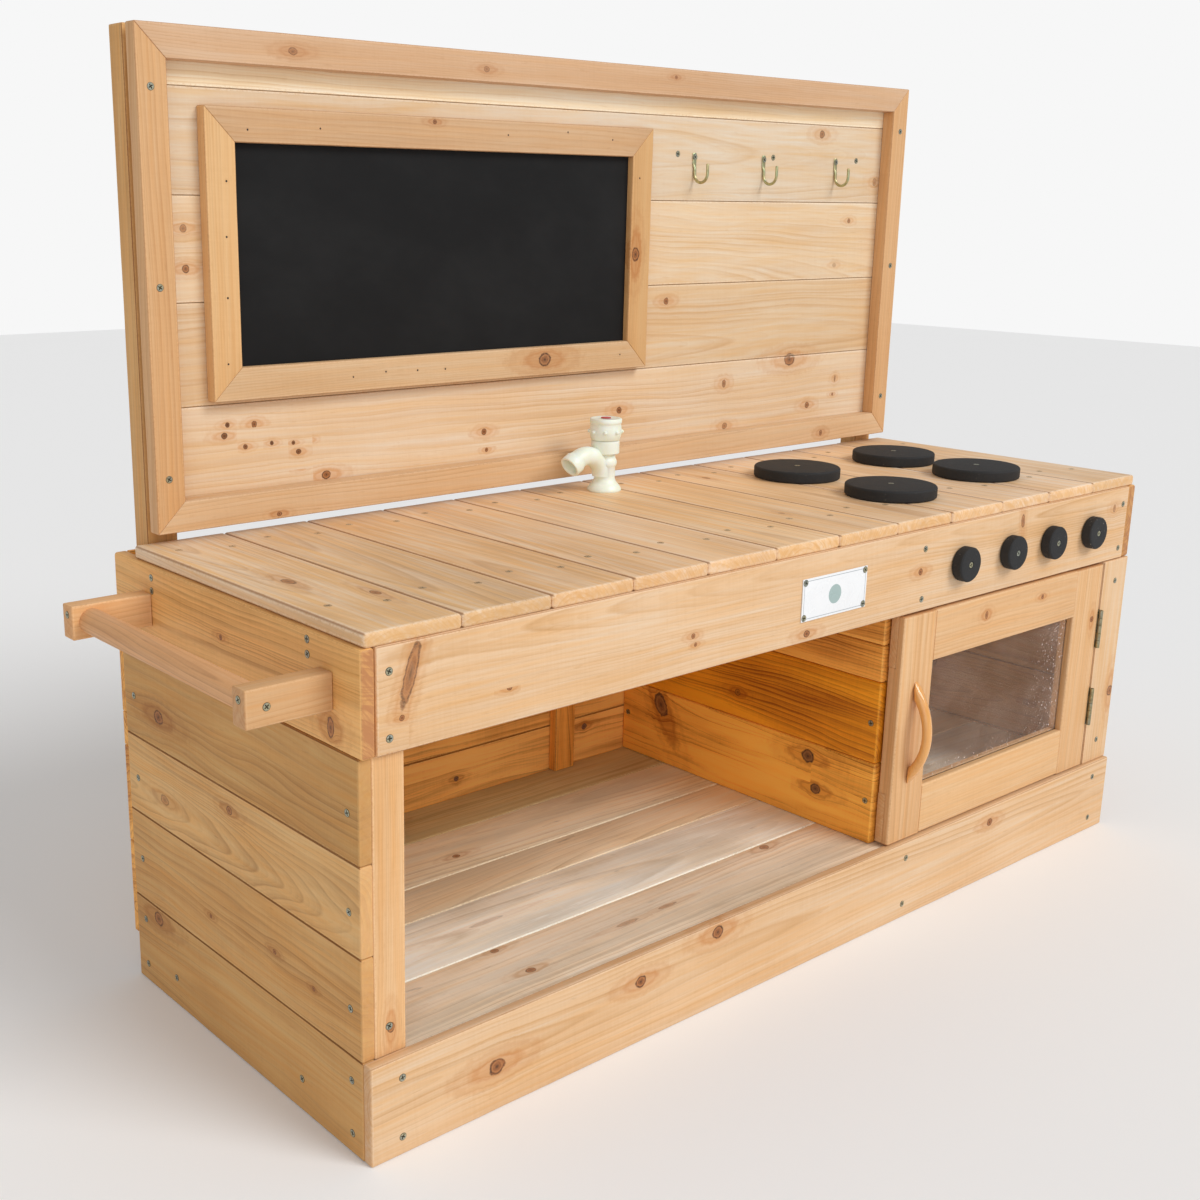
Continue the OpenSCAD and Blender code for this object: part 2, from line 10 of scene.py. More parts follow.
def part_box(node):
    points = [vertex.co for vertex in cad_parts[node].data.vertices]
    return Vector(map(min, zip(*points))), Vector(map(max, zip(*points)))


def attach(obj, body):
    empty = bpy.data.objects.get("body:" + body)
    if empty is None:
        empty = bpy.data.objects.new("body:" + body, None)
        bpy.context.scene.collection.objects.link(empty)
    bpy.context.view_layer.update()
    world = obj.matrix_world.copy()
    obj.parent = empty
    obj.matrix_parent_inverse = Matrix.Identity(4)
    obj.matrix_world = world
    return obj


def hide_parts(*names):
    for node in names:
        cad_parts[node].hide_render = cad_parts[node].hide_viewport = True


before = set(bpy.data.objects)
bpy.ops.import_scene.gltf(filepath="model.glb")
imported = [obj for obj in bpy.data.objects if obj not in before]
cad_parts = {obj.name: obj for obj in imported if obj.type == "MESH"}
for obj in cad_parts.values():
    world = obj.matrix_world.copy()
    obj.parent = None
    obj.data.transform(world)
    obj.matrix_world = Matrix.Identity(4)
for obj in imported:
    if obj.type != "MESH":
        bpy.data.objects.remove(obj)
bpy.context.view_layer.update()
noise.seed_set(1)  # this noise is seeded from the clock unless it is given a seed

# Positions below are in millimetres of the cabinet: X from its left side, Y from the plinth's face,
# and Z from the floor
ORIGIN = np.array([559.0, 210.9, 0.0])
X, Y, Z = 0, 1, 2
DOOR_Y, WORKTOP_Z = 5.5, 477
HEAD_R = 3.6

KNOT_EDGE, KNOT_DARK, KNOT_PALE = (0.055, 0.022, 0.011), (0.21, 0.065, 0.02), (0.56, 0.235, 0.08)
KNOT_HEART, KNOT_HOLE = (0.07, 0.025, 0.011), (0.035, 0.018, 0.011)
WORN, STAINED, STREAK_CREAM = (0.62, 0.57, 0.47), (0.28, 0.235, 0.18), (1.0, 0.93, 0.80)


def place(p):
    """Cabinet millimetres to the row frame's metres."""
    return (np.asarray(p, float) - ORIGIN) / 1000


# ---------------------------------------------------------------- materials


class Num:
    """A value that varies over a surface; arithmetic on it adds nodes to the material."""

    def __init__(self, tree, out):
        self.tree, self.out = tree, out

    def op(self, name, *others):
        node = self.tree.nodes.new("ShaderNodeMath")
        node.operation = name
        for socket, value in zip(node.inputs, (self, *others)):
            put(self.tree, socket, value)
        return Num(self.tree, node.outputs[0])

    def ramp(self, low, high, to_low=0.0, to_high=1.0):
        """Smooth step from to_low at low to to_high at high."""
        node = self.tree.nodes.new("ShaderNodeMapRange")
        node.interpolation_type = "SMOOTHSTEP"
        for socket, value in zip(node.inputs, (self, low, high, to_low, to_high)):
            put(self.tree, socket, value)
        return Num(self.tree, node.outputs[0])


def math_method(name):
    return lambda number, *others: number.op(name, *others)


for method, name in (("__add__", "ADD"), ("__sub__", "SUBTRACT"), ("__mul__", "MULTIPLY"),
                     ("__truediv__", "DIVIDE"), ("__pow__", "POWER"), ("sqrt", "SQRT"), ("abs", "ABSOLUTE"),
                     ("fract", "FRACT"), ("sin", "SINE"), ("min", "MINIMUM"), ("max", "MAXIMUM")):
    setattr(Num, method, math_method(name))


def put(tree, socket, value):
    """Sets a socket to a constant, or links it."""
    if isinstance(value, Num):
        tree.links.new(value.out, socket)
    elif isinstance(value, bpy.types.NodeSocket):
        tree.links.new(value, socket)
    else:
        socket.default_value = value


def attribute(tree, name, part="Vector"):
    node = tree.nodes.new("ShaderNodeAttribute")
    node.attribute_name = name
    return node.outputs[part]


def split(tree, out):
    node = tree.nodes.new("ShaderNodeSeparateXYZ")
    tree.links.new(out, node.inputs[0])
    return [Num(tree, o) for o in node.outputs]


def vector(tree, x, y, z):
    node = tree.nodes.new("ShaderNodeCombineXYZ")
    for socket, value in zip(node.inputs, (x, y, z)):
        put(tree, socket, value)
    return node.outputs[0]


def cloud(tree, at, scale=1.0, detail=2.0, rough=0.5):
    """Noise from 0 to 1 at a place."""
    node = tree.nodes.new("ShaderNodeTexNoise")
    tree.links.new(at, node.inputs["Vector"])
    node.inputs["Scale"].default_value = scale
    node.inputs["Detail"].default_value = detail
    node.inputs["Roughness"].default_value = rough
    return Num(tree, node.outputs[0])


def blend(tree, share, a, b, how="MIX"):
    node = tree.nodes.new("ShaderNodeMix")
    node.data_type, node.blend_type = "RGBA", how
    put(tree, node.inputs[0], share)
    for socket, value in ((node.inputs[6], a), (node.inputs[7], b)):
        put(tree, socket, (*value, 1.0) if isinstance(value, tuple) else value)
    return node.outputs[2]


def tinted(colour, by):
    return tuple(c * f for c, f in zip(colour, by))


def surface(name, **constant):
    """A material with only its shader, and constant values set on it."""
    m = bpy.data.materials.new(name)
    m.use_nodes = True
    shader = m.node_tree.nodes["Principled BSDF"]
    for key, value in constant.items():
        shader.inputs[key.replace("_", " ")].default_value = value
    return m, m.node_tree, shader


def finish(tree, shader, colour, rough, height, distance, strength):
    """Links a material's colour, roughness and bump."""
    put(tree, shader.inputs["Base Color"], colour)
    put(tree, shader.inputs["Roughness"], rough)
    node = tree.nodes.new("ShaderNodeBump")
    node.inputs["Distance"].default_value = distance
    node.inputs["Strength"].default_value = strength
    put(tree, node.inputs["Height"], height)
    tree.links.new(node.outputs[0], shader.inputs["Normal"])


def wood(name, pale, dark, ring=0.0035, contrast=0.5, wander=0.012, depth=0.05, spread=0.16,
         taper=0.10, streaks=0.4, warmth=0.5, grey=0.0, rough=0.56, end=0.5, end_tint=(1.0, 0.80, 0.62),
         coat=0.0, pores=0.5, gain=1.4, joint_shade=0.0, pale_streaks=0.0, fine=0.35, sawn=0.12,
         arris=0.0014, mottle=0.35):
    """Sawn softwood. Growth rings are cylinders round a pith beside each board, bent round its knots."""
    m, t, shader = surface(name, Coat_Weight=coat, Coat_Roughness=0.12, Specular_IOR_Level=0.35)
    x, y, z = split(t, attribute(t, "loc"))
    hx, hy, hz = split(t, attribute(t, "half"))
    s1, s2, s3 = split(t, attribute(t, "seed"))
    kx, ky, kdark = split(t, attribute(t, "knot"))
    ksize = Num(t, attribute(t, "knot_size", "Fac"))

    # Distance from the knot in knot radii, with an uneven outline
    wobble = cloud(t, vector(t, x + s1 * 9, y + s2 * 7, z + s3 * 5), 170, 2)
    rough_out = (wobble - 0.5) * 0.55 + 1
    d = (kx * kx + ky * ky).sqrt() * rough_out
    drawn = ((kx * kx) * 0.16 + ky * ky).sqrt() * rough_out
    bent = ky * ksize * d.ramp(8.0, 2.0) / (d * d + 0.45)

    low = cloud(t, vector(t, x * 1.6 + s1 * 40, y * 8 + s2 * 30, z * 8), 1, 2)
    mid = cloud(t, vector(t, x * 7 + s2 * 50, y * 30 + s3 * 20, z * 30), 1, 2)
    across = y - bent + (low - 0.5) * wander * 2 + (mid - 0.5) * wander * 0.4 - (s1 - 0.5) * spread
    away = z + (s2 * 0.9 + 0.25) * depth + x * ((s3 - 0.5) * taper)
    radius = (across * across + away * away).sqrt()
    uneven = cloud(t, vector(t, radius * 60, s2 * 30, s3 * 30), 1, 2)
    turn = radius / (s3 * ring * 0.9 + ring * 0.6) + uneven * 5
    late = (turn.fract() ** 3.2) * turn.fract().ramp(1.0, 0.88)
    between = (turn * 3).fract() ** 2
    fade = cloud(t, vector(t, x * 2.2 + s3 * 90, across * 22, away * 22), 1, 2).ramp(0.32, 0.68, 0.25, 1.0)
    fade = fade.max(d.ramp(4.5, 1.5))

    # Fibres, long streaks, flecks and pores all run along the grain
    fibre = cloud(t, vector(t, x * 24 + s3 * 60, y * 420 + s1 * 30, z * 420), 1, 3, 0.7)
    streak = cloud(t, vector(t, x * 1.5 + s2 * 70, across * 75, away * 75), 1, 4, 0.62)
    patch = cloud(t, vector(t, x * 4 + s1 * 80, y * 12 + s3 * 40, z * 12), 1, 3)
    fleck = cloud(t, vector(t, x * 55 + s2 * 15, y * 330, z * 330), 1, 1).ramp(0.66, 0.78)
    drift = cloud(t, vector(t, x * 3 + s2 * 33, across * 160, away * 160), 1, 3, 0.6)
    sun = blend(t, ((patch * 0.5 + drift * 1.3 - 0.6) * warmth * 1.8).max(0.0).min(1.0), pale,
                tinted(pale, (1.0, 0.78, 0.50)))
    share = late * fade * contrast + between * fade * contrast * 0.22 + (streak - 0.5) * streaks
    saw = cloud(t, vector(t, x * 420 + y * 30, y * 14, z * 14 + s3 * 8), 1, 2)
    share = share + (fibre - 0.5) * fine + (patch - 0.5) * mottle + (saw - 0.5) * sawn + fleck * 0.14
    share = share * gain + 0.10
    colour = blend(t, share.max(0.0).min(1.0), sun, dark)
    pore = cloud(t, vector(t, x * 45 + s1 * 33, y * 900, z * 900), 1, 1).ramp(0.72, 0.80) * pores
    colour = blend(t, pore * 0.4, colour, tuple(c * 0.45 for c in dark))
    if grey:
        worn = cloud(t, vector(t, x * 2.2 + s2 * 20, y * 20 + s1 * 9, z * 9), 1, 4, 0.65).ramp(0.35, 0.75)
        colour = blend(t, worn * grey, colour, WORN)
        stain = cloud(t, vector(t, x * 16 + s1 * 50, y * 60, z * 9), 1, 3, 0.6).ramp(0.66, 0.80)
        colour = blend(t, stain * grey, colour, STAINED)
    # Pale cream streaks along the grain
    if pale_streaks:
        colour = blend(t, (streak * 0.6 + fibre * 0.6).ramp(0.62, 0.90) * pale_streaks, colour, STREAK_CREAM)

    # Knot: a warm halo drawn out along the grain, a broken dark ring and a brown core
    ripple = ((drawn * 4.5 + low * 6).sin() * 0.5 + 0.5) * drawn.ramp(3.4, 1.4) * drawn.ramp(0.9, 1.2)
    deep = (kdark - 1).max(0.0)
    warm = kdark * (deep * -1 + 1)
    colour = blend(t, ripple * warm * 0.45, colour, tinted(dark, (0.92, 0.68, 0.42)))
    colour = blend(t, drawn.ramp(2.4, 0.8) * warm * 0.45, colour,
                   tinted(dark, (1.0, 0.74, 0.52)))
    speck = cloud(t, vector(t, x + s2 * 4, y, z), 420, 2, 0.7)
    rings = ((d * 11).sin() * 0.22 + speck * 0.9).min(1.0).max(0.0)
    core = blend(t, rings, KNOT_DARK, KNOT_PALE)
    core = blend(t, d.ramp(0.42, 0.08) * 0.85, core, KNOT_HEART)
    bark = d.ramp(0.66, 0.90) * d.ramp(1.18, 1.02) * speck.ramp(0.34, 0.58)
    core = blend(t, bark * 0.92, core, KNOT_EDGE)
    core = blend(t, deep.min(1.0), core, KNOT_HOLE)
    colour = blend(t, d.ramp(1.16, 0.90) * kdark.min(1.0), colour, core)

    # End grain is darker and redder. Arrises are a little paler, partly rubbed and partly a painted highlight,
    # and the long arrises are darkened, a painted shade for the joints between boards
    rim_x, rim_y, rim_z = hx - x.abs(), hy - y.abs(), hz - z.abs()
    at_end = rim_x.ramp(0.0016, 0.0004)
    cut = cloud(t, vector(t, y * 130 + z * 150 + s1 * 30, y * 16 - z * 14, s2 * 9), 1, 3, 0.6)
    colour = blend(t, (at_end * end * (late * 0.45 + cut.ramp(0.35, 0.7) * 0.5 + 0.35)).min(1.0), colour,
                   tinted(dark, end_tint))
    rim = rim_y.max(rim_z).min(rim_x.max(rim_z)).min(rim_x.max(rim_y))
    lengthwise = rim_y.max(rim_z)
    # Painted shade: the long arrises are darkened like the shadow in a joint between boards
    painted_joint_shade = lengthwise.ramp(arris, arris * 0.35) * joint_shade
    # Partly wear and partly a painted highlight: the arrises are lightened towards the pale colour
    rubbed = rim.ramp(arris * 1.9, arris) * speck.ramp(0.3, 0.6)
    colour = blend(t, rubbed * (at_end * -0.7 + 1) * 0.5, colour, tuple(min(1, c * 1.12) for c in pale))
    colour = blend(t, painted_joint_shade, colour, tinted(dark, (0.62, 0.42, 0.25)))
    colour = blend(t, 1.0, colour, attribute(t, "tone", "Color"), "MULTIPLY")
    relief = fibre * 0.5 + late * 0.5 - pore * 0.8 - bark * 0.5 + wobble * 0.25
    finish(t, shader, colour, (fibre - 0.5) * 0.25 + (late * -0.06) + rough, relief, 0.00035, 0.55)
    return m


def painted(name, colour, rough, grain=900.0, depth=0.0004, specks=0.0):
    """Rough paint over wood: a fine stipple and a few rubbed spots."""
    m, t, shader = surface(name, Specular_IOR_Level=0.4)
    loc = attribute(t, "loc")
    stipple = cloud(t, loc, grain, 3, 0.7)
    patch = cloud(t, loc, 60, 2)
    c = blend(t, (stipple - 0.35) * 0.8, tuple(v * 0.75 for v in colour), tuple(v * 1.5 for v in colour))
    c = blend(t, patch.ramp(0.4, 0.8) * 0.35, c, tuple(v * 1.7 for v in colour))
    if specks:
        spot = cloud(t, loc, 420, 1).ramp(0.745, 0.765) * specks
        c = blend(t, spot, c, (0.34, 0.31, 0.27))
    finish(t, shader, c, patch * 0.15 + rough, stipple + patch * 0.4, depth, 0.6)
    return m


def metal(name, bright, dull, tint=None, rough=0.32, head=None, recess_shade_share=0.9):
    """Plated steel with mottled plating. head is the radius of a screw's bright face; outside it and in
    its recess the colour is darkened, a painted shade for the countersink and the cross recess."""
    m, t, shader = surface(name, Metallic=1.0)
    loc = attribute(t, "loc")
    spot = cloud(t, loc, 260, 3, 0.6)
    wash = cloud(t, loc, 90, 2)
    c = blend(t, spot.ramp(0.3, 0.75), bright, dull)
    if tint:
        c = blend(t, wash.ramp(0.42, 0.62) * 0.8, c, tint)
    if head:
        x, y, z = split(t, loc)
        s1, s2, s3 = split(t, attribute(t, "seed"))
        u, v = x - s1, y - s2
        # Painted shade: the cross recess and a ring round the head are darkened
        painted_recess_shade = (z - s3).ramp(0.00015, 0.00023).max((u * u + v * v).sqrt().ramp(head, head * 1.08))
        c = blend(t, painted_recess_shade * recess_shade_share, c, (0.035, 0.026, 0.018))
    finish(t, shader, c, spot * 0.25 + rough, spot, 0.0001, 0.3)
    return m


def plastic(name, colour, shade, rough=0.34, **constant):
    """Moulded plastic with soft, cloudy colour."""
    m, t, shader = surface(name, **constant)
    loc = attribute(t, "loc")
    wash = cloud(t, loc, 45, 2)
    fine = cloud(t, loc, 900, 2)
    finish(t, shader, blend(t, wash.ramp(0.3, 0.7), colour, shade), wash * 0.12 + rough, fine, 0.00006, 0.35)
    return m


def slate_surface(name):
    """Board paint with smears of wiped chalk."""
    m, t, shader = surface(name, Specular_IOR_Level=0.14)
    x, y, z = split(t, attribute(t, "loc"))
    smear = cloud(t, vector(t, x * 5 + y * 4, y * 7 - x * 2, z), 1, 4, 0.65)
    dust = cloud(t, vector(t, x, y, z), 700, 2)
    c = blend(t, smear.ramp(0.35, 0.8) * 0.5 + dust * 0.12, (0.0085, 0.0085, 0.009), (0.022, 0.022, 0.0225))
    finish(t, shader, c, smear * 0.18 + 0.55, dust, 0.00008, 0.3)
    return m


def pane_surface(name):
    """Clear acrylic under a thin haze of scratches and spots, densest near its right and lower edges."""
    reach, rise = 0.155, 0.083
    m, t, shader = surface(name, IOR=1.46, Specular_IOR_Level=0.6)
    x, y, z = split(t, attribute(t, "loc"))
    long = cloud(t, vector(t, x * 22 + y * 16, y * 420 - x * 240, z), 1, 2).ramp(0.64, 0.74)
    short = cloud(t, vector(t, x * 60 - y * 30, y * 300 + x * 330, z), 1, 2).ramp(0.66, 0.76)
    spots = cloud(t, vector(t, x, y, z), 330, 3, 0.7).ramp(0.60, 0.70)
    right, lower, upper = (x / reach).ramp(0.35, 1.0), (y / -rise).ramp(0.55, 1.05), (y / rise).ramp(0.8, 1.1)
    edge = right.max(lower).max(upper * 0.6)
    haze = cloud(t, vector(t, x * 9, y * 12, z), 1, 3, 0.6).ramp(0.3, 0.8)
    lines = (long * 0.42 + short * 0.30) * (edge * 0.85 + 0.10) * (haze * 0.6 + 0.4)
    marks = lines + spots * (edge * 0.8 + 0.06)
    glint = t.nodes.new("ShaderNodeLayerWeight")
    glance = (Num(t, glint.outputs["Facing"]) ** 4) * 0.5
    veil = glance + haze * 0.12 + marks * 1.4 + edge * haze * 0.12 + 0.07
    # Only the front face carries the veil
    put(t, shader.inputs["Alpha"], veil.min(0.9) * z.ramp(0.0002, -0.0002))
    c = blend(t, marks.min(1.0), (0.66, 0.47, 0.36), (0.90, 0.90, 0.92))
    finish(t, shader, c, haze * 0.06 + 0.05, long + short, 0.00003, 0.4)
    return m


def plate_surface(name):
    """White enamel with a thin border line and one plain disc."""
    m, t, shader = surface(name, Specular_IOR_Level=0.55)
    x, y, z = split(t, attribute(t, "loc"))
    hx, hy, hz = split(t, attribute(t, "half"))
    edge = (hx - x.abs()).min(hy - y.abs())
    line = edge.ramp(0.0021, 0.0024) * edge.ramp(0.0032, 0.0029)
    r = (x * x + y * y).sqrt()
    disc = r.ramp(0.0105, 0.0100)
    wash = cloud(t, vector(t, x, y, z), 60, 2)
    c = blend(t, wash, (0.88, 0.89, 0.90), (0.80, 0.81, 0.82))
    c = blend(t, line * 0.8, c, (0.30, 0.33, 0.36))
    c = blend(t, disc * 0.9, c, (0.30, 0.42, 0.40))
    put(t, shader.inputs["Base Color"], c)
    put(t, shader.inputs["Roughness"], wash * 0.1 + 0.22)
    return m


# ---------------------------------------------------------------- shapes


def new_object(name, data):
    obj = bpy.data.objects.new(name, data)
    bpy.context.scene.collection.objects.link(obj)
    return obj


class Shape:
    """Vertices and faces gathered from several parts, with what the materials read at each."""

    def __init__(self):
        self.points, self.faces, self.corners = [], [], []
        self.read = {"loc": [], "half": [], "seed": [], "tone": []}
        self.count = 0

    def add(self, points, faces, loc, half, seed=(0.5, 0.5, 0.5), tone=(1, 1, 1), knots=()):
        points, loc = np.asarray(points, float), np.asarray(loc, float)
        n = len(points)
        self.points.append(points)
        self.faces += [[i + self.count for i in f] for f in faces]
        self.count += n
        for key, value in (("loc", loc), ("half", half), ("seed", seed), ("tone", tone)):
            self.read[key].append(np.broadcast_to(np.asarray(value, float), (n, 3)))
        for f in faces:
            at = loc[f]
            mid = at.mean(0)
            found = [((mid[0] - k[0]) ** 2 / k[3] ** 2 + (mid[1] - k[1]) ** 2, k) for k in knots]
            if not found:
                self.corners += [(99.0, 99.0, 0.0, 0.0)] * len(f)
                continue
            a, b, r, stretch, dark, turn = min(found, key=lambda q: q[0] / q[1][2] ** 2)[1]
            c, s = math.cos(turn), math.sin(turn)
            for p in at:
                u, v = (p[0] - a) * c + (p[1] - b) * s, (p[1] - b) * c - (p[0] - a) * s
                self.corners.append((u / (r * stretch), v / r, dark, r))

    def object(self, name, body, material, slot, nodes=(), sharp=40):
        mesh = bpy.data.meshes.new(name)
        mesh.from_pydata(np.concatenate(self.points).tolist(), [], self.faces)
        for key, value in self.read.items():
            kind = "FLOAT_COLOR" if key == "tone" else "FLOAT_VECTOR"
            data = np.concatenate(value)
            if key == "tone":
                data = np.concatenate([data, np.ones((len(data), 1))], 1)
            layer = mesh.attributes.new(key, kind, "POINT")
            layer.data.foreach_set("color" if key == "tone" else "vector", data.astype(np.float32).ravel())
        corners = np.array(self.corners, np.float32)
        layer = mesh.attributes.new("knot", "FLOAT_VECTOR", "CORNER")
        layer.data.foreach_set("vector", corners[:, :3].ravel())
        layer = mesh.attributes.new("knot_size", "FLOAT", "CORNER")
        layer.data.foreach_set("value", corners[:, 3].ravel())
        mesh.materials.append(material)
        mesh.polygons.foreach_set("use_smooth", [True] * len(mesh.polygons))
        mesh.set_sharp_from_angle(angle=math.radians(sharp))
        mesh.update()
        obj = new_object(name, mesh)
        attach(obj, body)
        if nodes:
            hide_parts(*nodes)
        return obj


def node_bmesh(node):
    bm = bmesh.new()
    bm.from_mesh(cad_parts[node].data)
    bmesh.ops.remove_doubles(bm, verts=bm.verts, dist=1e-6)
    bm.verts.index_update()
    return bm


def solids(node):
    """The points of each separate solid of a CAD node, lowest corner first."""
    bm = node_bmesh(node)
    seen, found = set(), []
    for v in bm.verts:
        if v in seen:
            continue
        seen.add(v)
        island, todo = [], [v]
        while todo:
            p = todo.pop()
            island.append(p.co[:])
            for e in p.link_edges:
                q = e.other_vert(p)
                if q not in seen:
                    seen.add(q)
                    todo.append(q)
        found.append(np.array(island))
    bm.free()
    return sorted(found, key=lambda p: tuple(np.round(p.min(0), 4)))


def rounded(half, r, cell):
    """A box of half sizes with rounded edges, as a grid of quads."""
    half = np.asarray(half, float)
    r = min(r, half.min() * 0.9)
    stops = []
    for h, c in zip(half, cell):
        inner = h - r
        mid = np.linspace(-inner, inner, max(2, math.ceil(2 * inner / c) + 1))
        rim = np.array([h, h - r * 0.586])
        stops.append(np.concatenate([-rim, mid, rim[::-1]]))
    grid = np.stack(np.meshgrid(*stops, indexing="ij"), -1)
    on = np.zeros(grid.shape[:3], bool)
    for axis in range(3):
        for end in (0, -1):
            at = [slice(None)] * 3
            at[axis] = end
            on[tuple(at)] = True
    ids = np.cumsum(on.ravel()).reshape(on.shape) - 1
    p = grid[on]
    core = np.clip(p, r - half, half - r)
    off = p - core
    p = core + off / np.linalg.norm(off, axis=1, keepdims=True) * r
    faces = []
    for axis in range(3):
        for end in (0, -1):
            a = np.take(ids, end, axis)
            quads = np.stack([a[:-1, :-1], a[1:, :-1], a[1:, 1:], a[:-1, 1:]], -1).reshape(-1, 4)
            if (end == 0) != (axis == 1):
                quads = quads[:, ::-1]
            faces.append(quads)
    return p, np.concatenate(faces)


def rng(*key):
    return random.Random(" ".join(map(str, key)))


def board_frame(lo, hi, grain):
    """Axes of a board: along the grain, across its face, through its thickness."""
    size = hi - lo
    others = [i for i in range(3) if i != grain]
    through = min(others, key=lambda i: (round(size[i] * 1000), i != Y))
    across = next(i for i in others if i != through)
    return [grain, across, through]


def brads(*places):
    """Sunk brad heads, drawn as small black knots."""
    return [(a, b, 1.0, 1.0, 2.0) for a, b in places]


def stray_knots(r, half, chance):
    """A few knots for a board that has none of its own."""
    found = []
    for _ in range(r.choice([0, 1, 1, 2, 3]) if r.random() < chance else 0):
        found.append((r.uniform(-0.9, 0.9) * half[0], r.uniform(-0.75, 0.75) * half[1],
                      r.uniform(0.0022, 0.0065), r.uniform(1.0, 1.5), r.uniform(0.7, 1.0), 0.0))
    return found


def own_knots(knots, centre, half, axes):
    """A node's knots that lie on one of its boards: where along and across in cabinet millimetres, the radius
    in millimetres, how stretched along the grain, how dark, and the turn in degrees if it lies askew."""
    found = []
    for a, b, radius, stretch, dark, *turn in knots:
        u = (a - ORIGIN[axes[0]]) / 1000 - centre[axes[0]]
        v = (b - ORIGIN[axes[1]]) / 1000 - centre[axes[1]]
        if abs(u) < half[0] + 0.01 and abs(v) < half[1] + 0.006:
            found.append((u, v, radius / 1000, stretch, dark, math.radians(turn[0]) if turn else 0.0))
    return found


def add_board(shape, lo, hi, grain, name, knots, tone, r, stray, mitre=0):
    """One board. mitre is the side its cut-back long edge is on: 1, -1, or 0 for square ends."""
    axes = board_frame(lo, hi, grain)
    centre, half = (lo + hi) / 2, (hi - lo)[axes] / 2
    p, faces = rounded(half, r, (0.03, 0.03, 0.05))
    rand = rng(name)
    drift = Vector((rand.uniform(0, 50), rand.uniform(0, 50), 0))
    wave = np.array([noise.noise_vector(Vector(q) * 22 + drift)[:] for q in p]) * 0.00022
    wave += np.array([noise.noise_vector(Vector(q) * 160 + drift)[:] for q in p]) * 0.00010
    p = np.clip(p + wave, -half, half)
    if mitre:
        back = (p[:, 1] * mitre + half[1]) / half[0]
        p[:, 0] *= 1 - back
    world = np.zeros_like(p)
    world[:, axes] = p + centre[axes]
    odd = sum(axes[i] > axes[j] for i in range(3) for j in range(i + 1, 3)) % 2
    if odd:
        faces = faces[:, ::-1]
    mine = own_knots(knots, centre, half, axes) or stray_knots(rand, half, stray)
    seed = (rand.random(), rand.random(), rand.random())
    light = rand.uniform(-0.05, 0.05)
    warm = rand.uniform(-0.03, 0.03)
    tone = np.array(tone) * (1 + light) * np.array([1 + warm * 0.3, 1, 1 - warm])
    shape.add(world, faces.tolist(), p, half, seed, tone, mine)


def boards(node, material, slot, grain, knots=(), tones=(), body="cabinet", r=0.0016, stray=0.7,
           tongues=False, ragged=0.0):
    """Rounded boards in place of the boxes of a CAD node, with tongues in their joints if they are matched.
    ragged is how far the board ends may stop short, in metres."""
    shape = Shape()
    before = None
    for i, points in enumerate(solids(node)):
        tone = tones[i % len(tones)] if tones else (1, 1, 1)
        lo, hi = points.min(0), points.max(0)
        rand = rng(node, i, "end")
        lo[grain] += rand.uniform(0, ragged)
        hi[grain] -= rand.uniform(0, ragged)
        add_board(shape, lo, hi, grain, f"{node} {i}", knots, tone, r, stray)
        if tongues and before is not None:
            axes = board_frame(lo, hi, grain)
            a, b = np.maximum(lo, before[0]), np.minimum(hi, before[1])
            a[axes[1]], b[axes[1]] = before[1][axes[1]] - 0.003, lo[axes[1]] + 0.003
            middle, thick = (a[axes[2]] + b[axes[2]]) / 2, (b[axes[2]] - a[axes[2]]) * 0.15
            a[axes[2]], b[axes[2]] = middle - thick, middle + thick
            a[grain], b[grain] = a[grain] + 0.002, b[grain] - 0.002
            # The tongue is toned dark, a painted shade in the joint that it fills
            add_board(shape, a, b, grain, f"{node} {i} tongue", (), (0.50, 0.34, 0.20), 0.0003, 0)
        before = (lo, hi)
    return shape.object(node + "_wood", body, material, slot, [node])


def mitred(node, material, slot, grain, inner, knots=(), tone=(1, 1, 1)):
    """One bar of a mitred frame; inner is the side that its short edge is on."""
    shape = Shape()
    points = solids(node)[0]
    lo, hi = points.min(0), points.max(0)
    add_board(shape, lo, hi, grain, node, knots, tone, 0.0013, 0.4, inner)
    return shape.object(node + "_wood", "cabinet", material, slot, [node])


def eased(bm, angle, r):
    """Bevels the outer edges sharper than an angle, and gives the points and faces."""
    edges = [e for e in bm.edges if len(e.link_faces) == 2 and e.is_convex and e.calc_face_angle(0) > angle]
    bmesh.ops.bevel(bm, geom=edges, offset=r, segments=2, profile=0.5, affect="EDGES", clamp_overlap=True)
    bm.verts.index_update()
    points = np.array([v.co[:] for v in bm.verts])
    faces = [[v.index for v in f.verts] for f in bm.faces]
    bm.free()
    return points, faces


def carved(node, material, slot, grain, body, knots=(), cuts=(), tone=(1, 1, 1)):
    """The CAD's own shape for wood with laps and rebates, with its outer edges eased."""
    bm = node_bmesh(node)
    bmesh.ops.dissolve_limit(bm, angle_limit=0.03, verts=bm.verts, edges=bm.edges)
    for cut in cuts:
        at, normal = [0.0] * 3, [0.0] * 3
        at[grain] = (cut - ORIGIN[grain]) / 1000
        normal[grain] = 1
        bmesh.ops.bisect_plane(bm, geom=bm.verts[:] + bm.edges[:] + bm.faces[:], plane_co=at, plane_no=normal)
    points, faces = eased(bm, 0.5, 0.0013)
    lo, hi = points.min(0), points.max(0)
    axes = board_frame(lo, hi, grain)
    centre, half = (lo + hi) / 2, (hi - lo)[axes] / 2
    rand = rng(node)
    shape = Shape()
    shape.add(points, faces, (points - centre)[:, axes], half, (rand.random(), rand.random(), rand.random()),
              tone, own_knots(knots, centre, half, axes))
    return shape.object(node + "_wood", body, material, slot, [node], 30)


